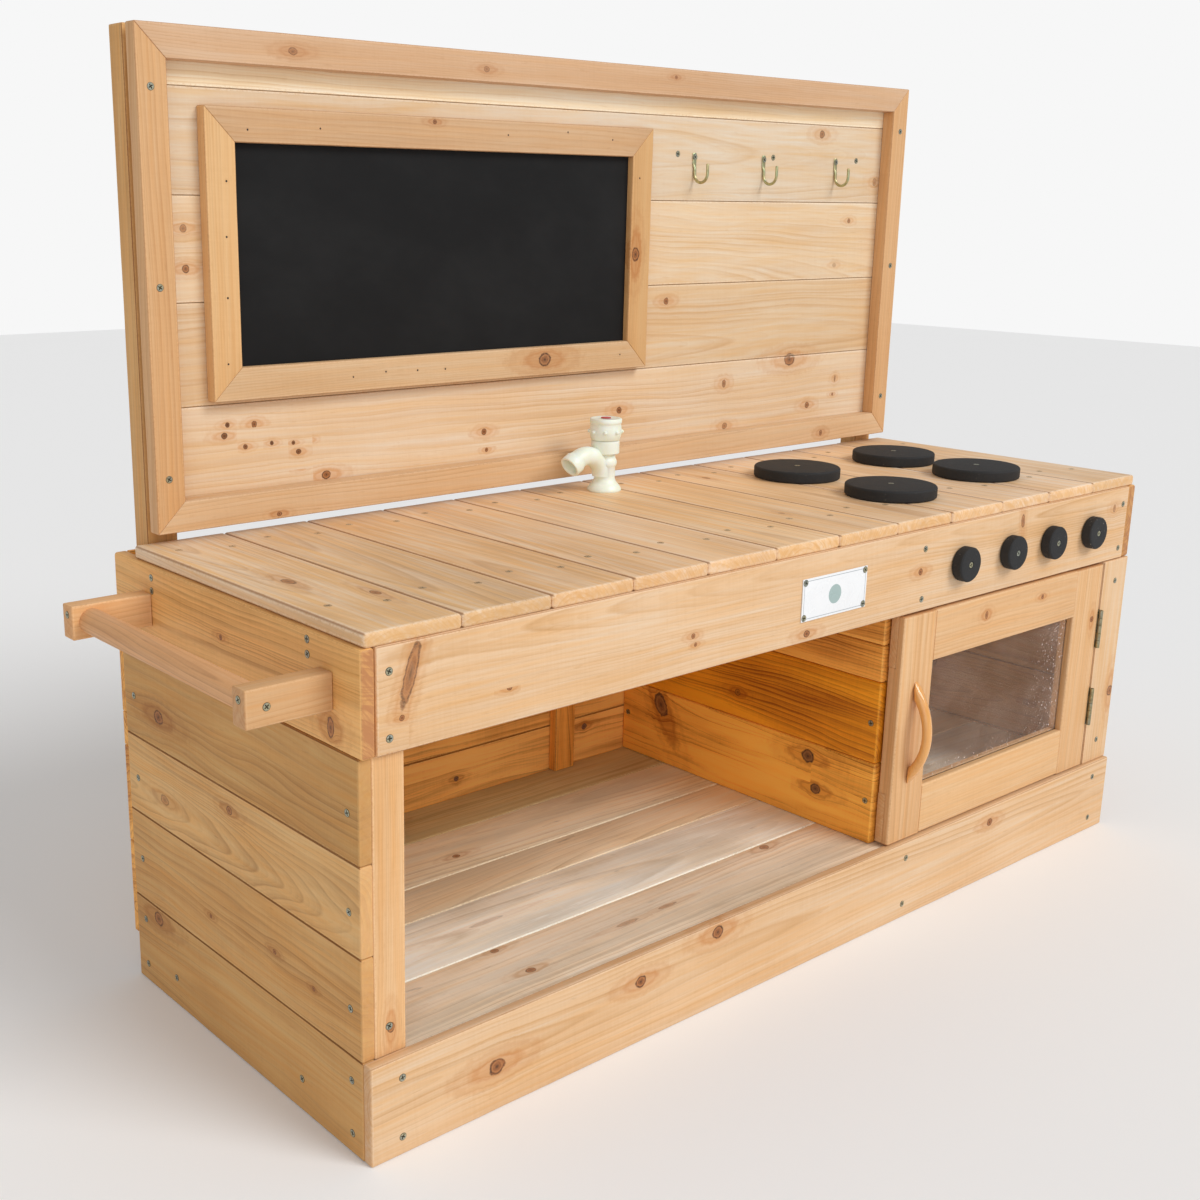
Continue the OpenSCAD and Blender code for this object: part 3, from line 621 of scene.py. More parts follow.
def eased_cad(node, material, slot, body):
    """The CAD's own shape for plate and tube, with eased edges."""
    points, faces = eased(node_bmesh(node), 0.6, 0.0002)
    lo, hi = points.min(0), points.max(0)
    shape = Shape()
    shape.add(points, faces, points - (lo + hi) / 2, (hi - lo) / 2)
    return shape.object(node + "_made", body, material, slot, [node], 30)


def lathe(profile, count=64):
    """Turns (radius, height) points round Z; points on the axis close it."""
    points, faces, rings = [], [], []
    for r, h in profile:
        if r < 1e-6:
            rings.append([len(points)] * count)
            points.append((0, 0, h))
        else:
            start = len(points)
            rings.append([start + i for i in range(count)])
            points += [(r * math.cos(a), r * math.sin(a), h) for a in np.arange(count) * 2 * math.pi / count]
    for a, b in zip(rings, rings[1:]):
        for i in range(count):
            j = (i + 1) % count
            face = list(dict.fromkeys([a[i], a[j], b[j], b[i]]))
            if len(face) > 2:
                faces.append(face)
    return np.array(points, float), faces


def soften(profile, r):
    """Rounds the corners of an open line of (radius, height) points."""
    steps = 3
    out = [profile[0]]
    for a, b, c in zip(profile, profile[1:], profile[2:]):
        a, b, c = map(np.array, (a, b, c))
        la, lc = np.linalg.norm(a - b), np.linalg.norm(c - b)
        cut = min(r, la * 0.45, lc * 0.45)
        p, q = b + (a - b) / la * cut, b + (c - b) / lc * cut
        for i in range(steps + 1):
            s = i / steps
            out.append(tuple(p * (1 - s) ** 2 + b * 2 * s * (1 - s) + q * s * s))
    return out + [profile[-1]]


def sweep(stations, count=20):
    """A closed tube through stations of (centre, side half-axis, other half-axis)."""
    points, faces = [], []
    for c, a, b in stations:
        for i in range(count):
            t = 2 * math.pi * i / count
            points.append(np.array(c) + np.array(a) * math.cos(t) + np.array(b) * math.sin(t))
    for s in range(len(stations) - 1):
        for i in range(count):
            j = (i + 1) % count
            faces.append([s * count + i, s * count + j, (s + 1) * count + j, (s + 1) * count + i])
    faces.append(list(range(count))[::-1])
    faces.append([len(points) - count + i for i in range(count)])
    return np.array(points, float), faces


def outward(points, faces):
    """Faces turned so that they point out of a closed shape."""
    bm = bmesh.new()
    for p in points:
        bm.verts.new(p)
    bm.verts.ensure_lookup_table()
    for f in faces:
        bm.faces.new([bm.verts[i] for i in f])
    bmesh.ops.recalc_face_normals(bm, faces=bm.faces)
    bm.verts.index_update()
    out = [[v.index for v in f.verts] for f in bm.faces]
    bm.free()
    return out


def to_world(points, origin, axis_z, axis_x):
    """Points in millimetres of a local frame to the row frame."""
    z, x = np.array(axis_z, float), np.array(axis_x, float)
    z, x = z / np.linalg.norm(z), x / np.linalg.norm(x)
    return place(np.asarray(origin, float) + points @ np.array([x, np.cross(z, x), z]))


def phillips_head():
    """Countersunk head with a cross recess, its face at z = 0 and its neck towards +Z, in millimetres."""
    rim = [(0, 0.12), (1.2, 0.10), (2.6, 0.04), (3.3, 0.0), (3.55, 0.08), (HEAD_R, 0.30), (1.9, 2.0),
           (1.9, 3.0), (0, 3.0)]
    points, faces = lathe(rim, 28)

    def mesh_object(name, pts, fcs):
        mesh = bpy.data.meshes.new(name)
        mesh.from_pydata(pts.tolist(), [], outward(pts, fcs))
        return new_object(name, mesh)

    head = mesh_object("head", points, faces)
    cutters = []
    for turn in (0, math.pi / 2):
        top, low = (2.4, 0.58), (1.1, 0.35)
        ring = [(sx * a, sy * b, z) for (a, b), z in ((top, -1), (top, 0.2), (low, 1.7)) for sx, sy in
                ((-1, -1), (1, -1), (1, 1), (-1, 1))]
        c, s = math.cos(turn), math.sin(turn)
        pts = np.array([(x * c - y * s, x * s + y * c, z) for x, y, z in ring])
        fcs = [[0, 1, 2, 3], [8, 9, 10, 11]]
        fcs += [[k + i, k + (i + 1) % 4, k + 4 + (i + 1) % 4, k + 4 + i] for k in (0, 4) for i in range(4)]
        cutters.append(mesh_object("cutter", pts, fcs))
        mod = head.modifiers.new("cut", "BOOLEAN")
        mod.operation, mod.object, mod.solver = "DIFFERENCE", cutters[-1], "EXACT"
    made = head.evaluated_get(bpy.context.evaluated_depsgraph_get()).to_mesh()
    points = np.array([v.co[:] for v in made.vertices])
    faces = [list(p.vertices) for p in made.polygons]
    for obj in (head, *cutters):
        bpy.data.objects.remove(obj)
    # The recess is floored just above the board around the head
    ring = [(3.2 * math.cos(a), 3.2 * math.sin(a), 0.26) for a in np.linspace(0, 2 * math.pi, 25)[:-1]]
    faces.append([len(points) + i for i in range(24)][::-1])
    return np.concatenate([points, ring]), faces


HEAD = phillips_head()


def screws(node, material, slot, body="cabinet"):
    """Phillips screws in place of a CAD node's plain ones."""
    shape = Shape()
    for i, pts in enumerate(solids(node)):
        lo, hi = pts.min(0), pts.max(0)
        size, centre = hi - lo, (lo + hi) / 2
        axis = max(range(3), key=lambda a: min(abs(size[a] - size[b]) for b in range(3) if b != a))
        flat = [a for a in range(3) if a != axis]

        def girth(end):
            near = np.abs(pts[:, axis] - end) < size[axis] * 0.35
            return np.linalg.norm((pts - centre)[near][:, flat], axis=1).max()

        sign = 1 if girth(lo[axis]) > girth(hi[axis]) else -1
        start = (lo if sign > 0 else hi)[axis]
        origin = centre.copy()
        origin[axis] = start
        z = np.zeros(3)
        z[axis] = sign
        side = np.zeros(3)
        side[flat[0]] = 1
        turn = rng(node, i).uniform(0, math.pi / 2)
        x = side * math.cos(turn) + np.cross(z, side) * math.sin(turn)
        y = np.cross(z, x)
        shank, rest = lathe([(0, 2.6), (1.9, 2.6), (1.9, size[axis] * 1000 - 3), (0, size[axis] * 1000)], 12)
        seed = (rng(node, i, "s").random(),) * 3
        wider = girth(start) * 1000 / HEAD_R
        for points, faces in ((HEAD[0] * (wider, wider, 1), HEAD[1]), (shank, outward(shank, rest))):
            world = origin + (points / 1000) @ np.array([x, y, z])
            shape.add(world, faces, points / 1000 + np.array(seed), (0.004,) * 3, seed)
    return shape.object(node + "_phillips", body, material, slot, [node], 35)


# ---------------------------------------------------------------- finishes

honey = wood("HoneyFir", (0.765, 0.56, 0.372), (0.58, 0.315, 0.125), ring=0.0040, contrast=0.6, streaks=0.5,
             spread=0.22, warmth=0.8, joint_shade=0.75, sawn=0.16, mottle=0.5)
door_wood = wood("DoorFir", (0.755, 0.50, 0.282), (0.545, 0.275, 0.10), ring=0.0036, contrast=0.5, spread=0.25,
                 streaks=0.4, warmth=0.7)
side = wood("SideFir", (0.68, 0.41, 0.17), (0.36, 0.165, 0.048), ring=0.0062, contrast=0.55, wander=0.035,
            depth=0.035, taper=0.16, streaks=0.6, warmth=0.8, rough=0.62, end=0.8, end_tint=(1.75, 2.0, 2.8),
            gain=1.3, joint_shade=0.85, fine=0.2, mottle=0.6)
side_apron = wood("SideApronFir", (0.80, 0.46, 0.17), (0.46, 0.215, 0.055), ring=0.0048, contrast=0.6,
                  wander=0.02, streaks=0.8, end=1.3, end_tint=(1.0, 0.92, 1.35), gain=1.7, joint_shade=0.5)
worktop = wood("WorktopFir", (0.85, 0.67, 0.50), (0.53, 0.31, 0.16), ring=0.0050, contrast=0.45,
               streaks=0.7, warmth=1.3, rough=0.5, end=0.95, end_tint=(1.35, 1.28, 1.0), gain=1.5, joint_shade=0.75,
               pale_streaks=0.25, fine=0.18, arris=0.0026, mottle=0.75)
floor_wood = wood("FloorFir", (0.93, 0.84, 0.70), (0.58, 0.43, 0.27), ring=0.0070, contrast=0.5, wander=0.02,
                  streaks=0.7, warmth=0.6, grey=0.7, rough=0.66, gain=2.0, pale_streaks=0.7, fine=0.18, mottle=1.4)
pale = wood("PaleFir", (0.81, 0.655, 0.495), (0.66, 0.39, 0.19), ring=0.0090, contrast=0.62, wander=0.02,
            depth=0.03, taper=0.14, streaks=0.3, warmth=0.75, pores=0.3, fine=0.28, mottle=0.6)
frame_wood = wood("FrameFir", (0.73, 0.455, 0.235), (0.52, 0.25, 0.09), ring=0.0030, contrast=0.45,
                  streaks=0.5, spread=0.3, pores=0.3, fine=0.25, joint_shade=0.4)
inner = wood("InnerFir", (1.0, 0.475, 0.095), (0.34, 0.095, 0.008), ring=0.0060, contrast=0.65, wander=0.03,
             streaks=0.95, gain=1.4, joint_shade=0.7, fine=0.3, mottle=1.3)
bar_wood = wood("BarWood", (0.74, 0.43, 0.22), (0.46, 0.22, 0.09), ring=0.0030, contrast=0.6, depth=0.02,
                spread=0.03, streaks=0.7)
varnished = wood("VarnishedWood", (0.79, 0.40, 0.115), (0.60, 0.26, 0.055), ring=0.0030, contrast=0.4,
                 rough=0.30, coat=0.9, gain=1.0)
black = painted("BlackPaint", (0.019, 0.019, 0.020), 0.66, 620, 0.0006, 0.25)
black_specked = painted("BlackPaintSpecked", (0.020, 0.020, 0.021), 0.62, specks=0.9)
zinc = metal("Zinc", (0.52, 0.55, 0.47), (0.28, 0.30, 0.25), (0.50, 0.46, 0.28), head=0.0031)
dusty_zinc = metal("DustyZinc", (0.84, 0.68, 0.48), (0.60, 0.45, 0.28), (0.70, 0.52, 0.33), 0.5, 0.0034, 0.5)
yellow_zinc = metal("YellowZinc", (0.62, 0.55, 0.30), (0.38, 0.35, 0.19), (0.40, 0.48, 0.30), rough=0.26)
hinge_metal = metal("HingePlate", (0.42, 0.36, 0.20), (0.26, 0.22, 0.13), (0.34, 0.33, 0.26), rough=0.34)
ivory = plastic("IvoryPlastic", (0.86, 0.93, 0.85), (0.83, 0.885, 0.74), rough=0.30, Subsurface_Weight=0.15,
                Subsurface_Radius=(0.010, 0.007, 0.003), Subsurface_Scale=0.6)
red = plastic("RedPlastic", (0.60, 0.05, 0.07), (0.50, 0.04, 0.06))
slate = slate_surface("SlatePaint")
pane = pane_surface("Acrylic")
enamel = plate_surface("Enamel")

# ---------------------------------------------------------------- cabinet

SIDE_TONES = [(0.92, 0.92, 0.87), (1.06, 1.07, 1.05), (1.10, 1.15, 1.19), (0.90, 0.89, 0.78)]
SIDE_KNOTS = [(361, 311, 7, 1.3, 1), (356, 225, 5, 1.6, 0.6), (226, 257, 4, 1.2, 0.9), (383, 84, 7, 1.3, 0.9),
              (270, 132, 2.2, 1, 1), (152, 143, 2.4, 1.2, 1), (87, 134, 2, 1, 1)]
PLINTH_KNOTS = [(139, 45, 7.5, 1.2, 1), (322, 67, 6, 1.2, 1), (432, 85, 7, 1.1, 1), (924, 75, 4.5, 1.2, 1)]
APRON_KNOTS = [(49, 436, 6.0, 4.6, 0.78, 73), (40, 400, 2.5, 1, 1), (154, 403, 2.6, 1.2, 1),
               (382, 408, 2.6, 1, 0.9), (386, 399, 2, 1, 0.9), (553, 380, 3.5, 1.3, 1), (744, 417, 3.6, 1, 1),
               (942, 449, 3.6, 2.2, 0.8, 96), (1152, 439, 5, 0.6, 0.6)]
WORKTOP_KNOTS = [(187, 47, 5, 1.9, 0.8), (108, 86, 4, 1.9, 0.8), (321, 737, 4, 1.5, 0.7),
                 (120, 640, 3, 1.5, 0.5)]
DIVIDER_TONES = [(1.12, 1.16, 0.95), (0.96, 0.82, 0.20), (1.0, 1.0, 1.0), (1.0, 1.05, 1.2)]
DIVIDER_KNOTS = [(121, 174, 7.5, 1.2, 1.4), (107, 137, 6, 1.2, 1.4), (363, 173, 10, 1.6, 1.25, 60),
                 (234, 224, 4, 1, 0.9)]
BACK_KNOTS = [(431, 118, 3, 1.2, 1.6), (645, 139, 3.6, 1.2, 1.5), (250, 230, 6, 1.2, 1),
              (900, 180, 7, 1.2, 1)]
WORKTOP_TONES = [(0.97, 1.0, 1.03), (0.97, 1.0, 1.03), (0.95, 0.92, 0.87), (0.97, 0.95, 0.93), (1, 1, 1),
                 (1.04, 1.04, 1.02), (1.06, 1.06, 1.05), (1.06, 1.07, 1.08), (1.07, 1.09, 1.12),
                 (1.08, 1.12, 1.18), (1.07, 1.10, 1.15), (1.05, 1.09, 1.14)]
# Floor boards from front to back; the last, rear board is darkened, a painted shade for the back of the floor
FLOOR_TONES_AND_SHADE = [(1.06, 1.03, 0.98), (1.09, 1.19, 1.27), (1.03, 0.98, 0.87), (1.06, 1.09, 1.02),
               (0.74, 0.71, 0.49)]
FLOOR_KNOTS = [(324, 296, 3.5, 1.4, 0.85), (220, 48, 4, 1.4, 0.8), (217, 99, 3.5, 1.3, 0.7),
               (615, 96, 5, 1.3, 0.7), (361, 60, 3, 5, 0.45), (392, 66, 3.4, 6, 0.6), (421, 62, 2.6, 5, 0.5),
               (250, 152, 3, 7, 0.3)]

boards("plinth_front", honey, "honey_fir", X, PLINTH_KNOTS, r=0.0022)
boards("side_boards_left", side, "side_fir", Y, SIDE_KNOTS, SIDE_TONES, stray=0, r=0.0014, tongues=True)
boards("side_boards_right", side, "side_fir", Y, tongues=True)
boards("back_boards", inner, "inner_fir", X, BACK_KNOTS, [(1.06, 1.22, 1.7)], r=0.001, tongues=True)
boards("floor_boards", floor_wood, "floor_fir", X, FLOOR_KNOTS, FLOOR_TONES_AND_SHADE, stray=0.3, tongues=True)
boards("floor_bearers", inner, "inner_fir", Y)
boards("divider_boards", inner, "inner_fir", Y, DIVIDER_KNOTS, DIVIDER_TONES, r=0.003, tongues=True)
boards("divider_battens", inner, "inner_fir", Z)
boards("front_post_left", door_wood, "honey_fir", Z, [(120, 30, 3.6, 1.3, 0.9)])
boards("corner_battens", inner, "inner_fir", Z)
boards("hinge_stile", honey, "honey_fir", Z, [(189, 1193, 6, 1.2, 0.9)], [(1.04, 1.04, 1.02)])
boards("apron_front", honey, "honey_fir", X, APRON_KNOTS, r=0.0022)
boards("apron_left", side_apron, "side_fir", Y, [(51, 388, 9, 0.55, 0.9), (229, 424, 2.5, 1, 1)],
       [(1.05, 1.05, 1.05)], r=0.0030)
boards("apron_right", side_apron, "side_fir", Y, r=0.0030)
boards("apron_rear", inner, "inner_fir", X)
boards("apron_blocks", inner, "inner_fir", Z)
boards("worktop_boards", worktop, "worktop_fir", Y, WORKTOP_KNOTS, WORKTOP_TONES, r=0.0030, stray=0,
       tongues=True, ragged=0.0012)
boards("worktop_battens", inner, "inner_fir", X)

# ---------------------------------------------------------------- backboard

PLANK_KNOTS = [(1019, 897, 5, 1, 0.8), (1139, 838, 5, 0.8, 0.5), (1088, 786, 3, 1, 0.8),
               (1062, 727, 3, 1.3, 0.4), (735, 689, 4, 1, 0.9), (979, 603, 8, 1.3, 0.9),
               (849, 579, 5, 0.7, 0.8), (861, 564, 2.2, 1, 1), (1022, 538, 4, 1.1, 0.9),
               (1080, 571, 4, 0.5, 0.7), (1077, 549, 2, 1, 0.9), (854, 523, 4, 1.1, 0.7),
               (111, 587, 2.4, 1, 1.5), (107, 576, 3.2, 1.1, 1.4), (142, 585, 3.6, 0.8, 1.1),
               (131, 563, 2.4, 1, 1.3), (162, 564, 2.2, 1, 1.5), (188, 562, 2, 1, 1.4),
               (208, 563, 2.2, 1, 1.3), (194, 552, 2.8, 1.1, 1.4), (147, 556, 1.8, 1, 1.2),
               (195, 536, 2.6, 1, 1.2), (228, 524, 4.4, 1.2, 1), (444, 551, 3.6, 1, 1.1),
               (448, 530, 2.2, 1, 1), (659, 559, 4.2, 1, 1.1), (72, 741, 4, 1, 0.9), (71, 779, 3.5, 1, 0.7)]
# The last tone, on the top plank, is much paler: painted light that lifts the shadow of the frame above it
PLANK_TONES_AND_LIGHT = [(1.0, 1.04, 1.10), (0.94, 0.93, 0.87), (0.95, 1.0, 1.04), (0.93, 0.98, 1.01),
               (1.19, 1.35, 1.46)]

boards("backboard_planks", pale, "pale_fir", X, PLANK_KNOTS, PLANK_TONES_AND_LIGHT, r=0.0012, stray=0, tongues=True)
boards("backboard_posts", side, "side_fir", Z)
mitred("backboard_frame_top", frame_wood, "honey_fir", X, -1,
       [(188, 945, 3.5, 1.4, 0.7), (430, 943, 3, 1.3, 0.6), (720, 951, 2, 1.2, 0.8)], (0.93, 1.01, 1.25))
mitred("backboard_frame_bottom", frame_wood, "honey_fir", X, 1,
       [(158, 493, 2.4, 1.2, 1), (1034, 500, 4, 0.8, 0.9)], (0.92, 1.05, 1.30))
mitred("backboard_frame_left", frame_wood, "honey_fir", Z, 1)
mitred("backboard_frame_right", frame_wood, "honey_fir", Z, -1)
mitred("chalkboard_frame_top", frame_wood, "honey_fir", X, -1,
       [(363, 887, 2.2, 1.2, 1)] + brads((137, 871), (220, 875), (464, 877), (552, 883), (622, 877)),
       (0.86, 0.92, 1.06))
mitred("chalkboard_frame_bottom", frame_wood, "honey_fir", X, 1, [(523, 630, 7.5, 1.2, 1)] + brads(
    (255, 627), (297, 630), (339, 629), (377, 628), (471, 626), (597, 628), (644, 629)), (0.94, 1.08, 1.28))
mitred("chalkboard_frame_left", frame_wood, "honey_fir", Z, 1,
       brads((823, 112), (771, 110), (713, 109), (649, 107)), (1.02, 1.06, 1.02))
mitred("chalkboard_frame_right", frame_wood, "honey_fir", Z, -1,
       [(747, 665, 6, 1.3, 1)] + brads((835, 668), (782, 671), (680, 676)), (0.94, 0.93, 0.82))
boards("chalkboard_slate", slate, "chalkboard_black", X, stray=0, r=0.0005)


def hook_stations(x):
    """A flattened plate that runs into a round wire, bent to a U that opens upwards."""
    found = []
    for z, w, d, y in ((867, 2.2, 0.5, 398.8), (866.4, 3.0, 0.75, 398.8), (865, 3.25, 0.8, 398.8),
                       (855, 3.25, 0.8, 398.8), (852, 2.8, 1.0, 398.5), (849, 2.0, 1.6, 397.8),
                       (846, 1.8, 1.8, 397.6)):
        found.append(((x, y, z), (w, 0, 0), (0, d, 0)))
    for t in np.linspace(0, math.pi, 25):
        c, s = math.cos(t), math.sin(t)
        found.append(((x, 387.1 + 10.5 * c, 842 - 10.5 * s), (1.8, 0, 0), (0, 1.8 * c, -1.8 * s)))
    for z, w in ((848, 1.8), (853, 1.8), (853.7, 1.5), (854, 0.9)):
        found.append(((x, 376.6, z), (w, 0, 0), (0, -w, 0)))
    return found


hooks = Shape()
HOOK_XS = (775, 904, 1050)
for hook_x in HOOK_XS:
    pts, fcs = sweep(hook_stations(hook_x), 20)
    hooks.add(place(pts), outward(pts, fcs), place(pts), (0.01,) * 3)
hooks.object("utensil_hooks_wire", "cabinet", yellow_zinc, "yellow_zinc", ["utensil_hooks"], 50)

# ---------------------------------------------------------------- towel bar

boards("towel_brackets", door_wood, "honey_fir", X, stray=0, tones=[(0.86, 0.82, 0.78), (1.0, 0.97, 0.95)])
BAR_R = 12.5
bar = solids("towel_dowel")[0]
bar_lo, bar_hi = bar.min(0) * 1000 + ORIGIN, bar.max(0) * 1000 + ORIGIN
bar_len = bar_hi[1] - bar_lo[1]
bar_end = ((bar_lo[0] + bar_hi[0]) / 2, bar_lo[1], (bar_lo[2] + bar_hi[2]) / 2)
pts, fcs = lathe(soften([(0, 0), (BAR_R, 0), (BAR_R, bar_len), (0, bar_len)], 0.8), 72)
dowel = Shape()
dowel.add(to_world(pts, bar_end, (0, 1, 0), (1, 0, 0)), outward(pts, fcs),
          (pts[:, [2, 0, 1]] - (bar_len / 2, 0, 0)) / 1000, (bar_len / 2000, 0.05, 0.05), (0.3, 0.2, 0.7))
dowel.object("towel_dowel_wood", "cabinet", bar_wood, "bar_wood", ["towel_dowel"])

# ---------------------------------------------------------------- burners and knobs


def turned(node, profile, axis_z, axis_x, material, slot, body="cabinet", soft=1.2, count=96):
    """A turned piece in place of a CAD node, standing on the middle of the side its axis leaves."""
    lo, hi = (np.array(v) * 1000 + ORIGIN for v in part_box(node))
    z = np.array(axis_z, float)
    origin = np.where(z > 0, lo, np.where(z < 0, hi, (lo + hi) / 2))
    pts, fcs = lathe(soften(profile, soft), count)
    shape = Shape()
    world, loc = to_world(pts, origin, axis_z, axis_x), pts / 1000 + rng(node).random()
    shape.add(world, outward(pts, fcs), loc, (0.05,) * 3)
    return shape.object(node + "_turned", body, material, slot, [node], 50)


BURNER = [(0, 0), (51.5, 0), (53, 1.5), (53, 12.4), (51.4, 14), (0, 14)]
KNOB = [(0, 0), (18.6, 0), (20, 1.4), (20, 11.4), (18.4, 13), (3.9, 13), (3.9, 10), (0, 10)]
for spot in ("front_left", "front_right", "rear_left", "rear_right"):
    turned("burner_" + spot, BURNER, (0, 0, 1), (1, 0, 0), black, "black_painted_wood")
for i in (1, 2, 3, 4):
    turned(f"knob_{i}", KNOB, (0, -1, 0), (1, 0, 0), black_specked if i == 4 else black, "black_painted_wood",
           f"knob_{i}", 0.7)

# ---------------------------------------------------------------- nameplate and tap

boards("nameplate", enamel, "white_plate", X, stray=0, r=0.0004)



def mould(shape, made, origin, tone=(1, 1, 1)):
    """Adds points in millimetres and their faces to a moulding."""
    points, faces = made
    shape.add(place(points + origin), outward(points, faces), points / 1000, (0.03,) * 3, tone=tone)


TAP = np.array([578, 338, WORKTOP_Z])
flare = [(23.2 - 11 * math.cos(a), 17 - 11 * math.sin(a)) for a in np.radians(range(52, -1, -4))]
belly = [(6.2 + 8 * math.cos(a), 34 + 8 * math.sin(a)) for a in np.radians(range(-40, 41, 8))]
tap_profile = [(0, 0), (19.4, 0), (20, 0.8), (20, 2.6), (18.6, 5.6)] + flare + belly
tap_profile += [(12.2, 43.6), (16.0, 44.6), (16.7, 45.4), (16.7, 58.6), (16.2, 59.0), (16.2, 60), (0, 60)]
tap = Shape()
mould(tap, lathe(tap_profile, 72), TAP)
SPOUT_SIDES, SPOUT_R, BEND_R, BEND = 48, 11, 26, math.radians(121)
BEND_CENTRE = np.array([-31, 0, 18])


def radial(a):
    return np.array([math.cos(a), 0, math.sin(a)])


bend = [(BEND_CENTRE + radial(a) * BEND_R, radial(a) * SPOUT_R, (0, SPOUT_R, 0))
        for a in np.linspace(0, BEND, 40)]
mould(tap, sweep(bend, SPOUT_SIDES), TAP)
root, out = BEND_CENTRE + radial(BEND) * BEND_R, radial(BEND + math.pi / 2)
# Distances along the spout and radii: the collar outside, its rim, then the blind bore
COLLAR = [(-1, 10.9), (-0.6, 11.4), (2.4, 12.0), (2.8, 12.6), (3.4, 13), (13.2, 13), (13.8, 12.7), (14, 12.2),
          (14, 10.8)]
BORE = [(13.7, 10.3), (13, 10), (4, 10), (4, 0.05)]
nozzle = sweep([(root + out * s, radial(BEND) * r, (0, r, 0)) for s, r in COLLAR + BORE], SPOUT_SIDES)
inside = np.arange(len(nozzle[0])) >= SPOUT_SIDES * len(COLLAR)
mould(tap, nozzle, TAP, np.where(inside[:, None], (0.95, 0.80, 0.50), (1, 1, 1)))
tap.object("tap_body_moulding", "cabinet", ivory, "ivory_plastic", ["tap_body"], 38)

TAP_TOP = TAP + (0, 0, 60.5)
cap = Shape()
cap_profile = [(0, 0), (16.4, 0), (16.9, 0.6), (18.2, 5), (18.9, 8), (19.0, 10.5), (18.4, 15), (17.9, 18.6),
               (18.1, 19.4), (18.6, 20), (18.8, 21), (18.8, 24.4), (18.3, 25.2), (17.5, 25.5), (15.6, 25.5),
               (15.0, 25.2), (0, 25.2)]
mould(cap, lathe(cap_profile, 72), TAP_TOP)
NUB_R, NUBS, NUB_RING, NUB_Z = 2.3, 8, 19.0, 10
ball, ball_faces = lathe([(NUB_R * math.sin(a), -NUB_R * math.cos(a)) for a in np.linspace(0, math.pi, 13)], 20)
for i in range(NUBS):
    a = i * 2 * math.pi / NUBS
    mould(cap, (ball + (NUB_RING * math.cos(a), NUB_RING * math.sin(a), NUB_Z), ball_faces), TAP_TOP)
cap.object("tap_handle_moulding", "tap_top", ivory, "ivory_plastic", ["tap_handle"], 38)
turned("tap_indicator", [(0, 0), (6, 0), (6, 0.6), (5.6, 0.8), (0, 0.8)], (0, 0, 1), (1, 0, 0), red,
       "red_plastic", "tap_top", 0.15, 48)

# ---------------------------------------------------------------- oven door

carved("door_stile_left", door_wood, "honey_fir", Z, "door", tone=(1.0, 0.98, 0.95))
carved("door_stile_right", door_wood, "honey_fir", Z, "door", knots=[(298, 1125, 3.6, 1, 1)])
carved("door_rail_top", door_wood, "honey_fir", X, "door", [(882, 345, 4.5, 0.6, 0.9), (1001, 348, 2.6, 1, 1)],
       cuts=[942])
carved("door_rail_bottom", door_wood, "honey_fir", X, "door", tone=(1.02, 1.04, 1.04))
boards("door_window_beads", door_wood, "honey_fir", X, body="door", r=0.0006, stray=0)
boards("door_window", pane, "clear_acrylic", X, body="door", r=0.0003, stray=0)

HANDLE_X, HANDLE_Z, HALF_LENGTH, HALF_WIDTH, OPEN_HALF = 752, 228, 61, 6.5, 41
OUTER_R, OUTER_RISE, INNER_R, INNER_RISE = 86.92, 25, 63.53, 15
stations = []
for z in HALF_LENGTH * np.sin(np.linspace(-math.pi / 2, math.pi / 2, 61)) * 0.995:
    front = math.sqrt(OUTER_R ** 2 - z * z) - (OUTER_R - OUTER_RISE)
    back = max(0.0, math.sqrt(INNER_R ** 2 - z * z) - (INNER_R - INNER_RISE)) if abs(z) < OPEN_HALF else 0.0
    wide = HALF_WIDTH * min(1, (HALF_LENGTH + 0.2 - abs(z)) / 9) ** 0.5
    centre = (HANDLE_X, DOOR_Y - (front + back) / 2, HANDLE_Z + z)
    stations.append((centre, (wide, 0, 0), (0, max(front - back, 0.2) / 2, 0)))
pts, fcs = sweep(stations, 32)
grip = Shape()
grip.add(place(pts), outward(pts, fcs), (pts[:, [2, 0, 1]] - (HANDLE_Z, HANDLE_X, 0)) / 1000, (0.08,) * 3,
         (0.2, 0.4, 0.5))
grip.object("door_handle_bow", "door", varnished, "varnished_wood", ["door_handle"])

# ---------------------------------------------------------------- hardware

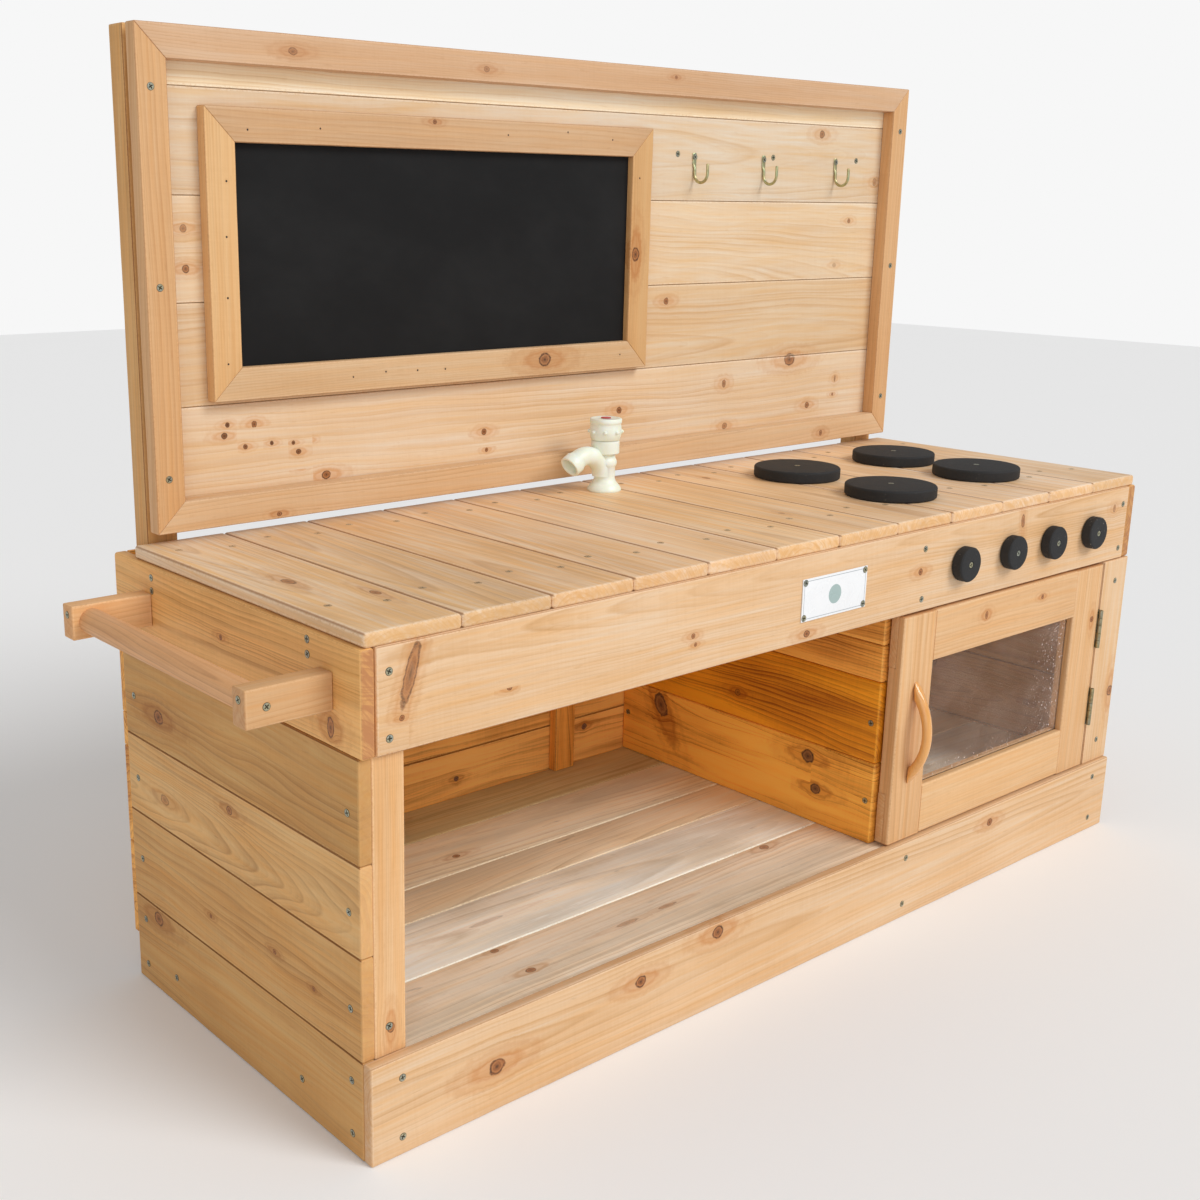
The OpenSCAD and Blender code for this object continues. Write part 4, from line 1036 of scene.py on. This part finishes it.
eased_cad("hinge_leaves_cabinet", hinge_metal, "zinc_steel", "cabinet")
eased_cad("hinge_leaves_door", hinge_metal, "zinc_steel", "door")
eased_cad("hinge_pins", zinc, "zinc_steel", "cabinet")
for group in ("carcass_screws", "worktop_screws", "backboard_screws", "fitting_screws", "knob_screws"):
    screws(group, dusty_zinc if group == "worktop_screws" else zinc, "zinc_steel")
screws("door_screws", zinc, "zinc_steel", "door")

# ---------------------------------------------------------------- floor, light and camera

FLOOR_HALF = 8
mesh = bpy.data.meshes.new("studio_floor")
corners = [(x * FLOOR_HALF, y * FLOOR_HALF, 0) for x, y in ((-1, -1), (1, -1), (1, 1), (-1, 1))]
mesh.from_pydata(corners, [], [(0, 1, 2, 3)])
mesh.materials.append(surface("StudioFloor", Base_Color=(0.93, 0.93, 0.93, 1), Roughness=0.9)[0])
studio = new_object("studio_floor", mesh)

world = bpy.data.worlds.new("studio")
bpy.context.scene.world = world
world.use_nodes = True
sky = world.node_tree.nodes["Background"]
seen = world.node_tree.nodes.new("ShaderNodeLightPath")
sky.inputs["Color"].default_value = (1.0, 1.0, 1.0, 1)
backdrop = Num(world.node_tree, seen.outputs["Is Camera Ray"]) * 0.45
put(world.node_tree, sky.inputs["Strength"], backdrop + 0.48)


def aim(obj, direction, roll=0.0):
    obj.rotation_mode = "QUATERNION"
    turn = Matrix.Rotation(math.radians(roll), 3, "Z").to_quaternion()
    obj.rotation_quaternion = Vector(direction).to_track_quat("-Z", "Y") @ turn


LIGHTS = [("key", 1.63, 30, (-0.30, 0.70, -0.64)), ("fill", 0.65, 50, (0.62, 0.75, -0.22))]
for name, power, spread, direction in LIGHTS:
    light = bpy.data.lights.new(name, "SUN")
    light.energy, light.angle = power, math.radians(spread)
    aim(new_object(name, light), direction)

lens = bpy.data.cameras.new("camera")
lens.sensor_width, lens.lens, lens.shift_x = 36, 44.70, 0.0917
lens.clip_start, lens.clip_end = 0.05, 60
camera = new_object("camera", lens)
camera.location = (-1.1917, -1.1326, 0.8030)
AZIMUTH, ELEVATION = math.radians(-39.46), math.radians(14.85)
aim(camera, (-math.sin(AZIMUTH) * math.cos(ELEVATION), math.cos(AZIMUTH) * math.cos(ELEVATION),
             -math.sin(ELEVATION)), 0.48)
bpy.context.scene.camera = camera
bpy.context.scene.view_settings.view_transform = "Standard"
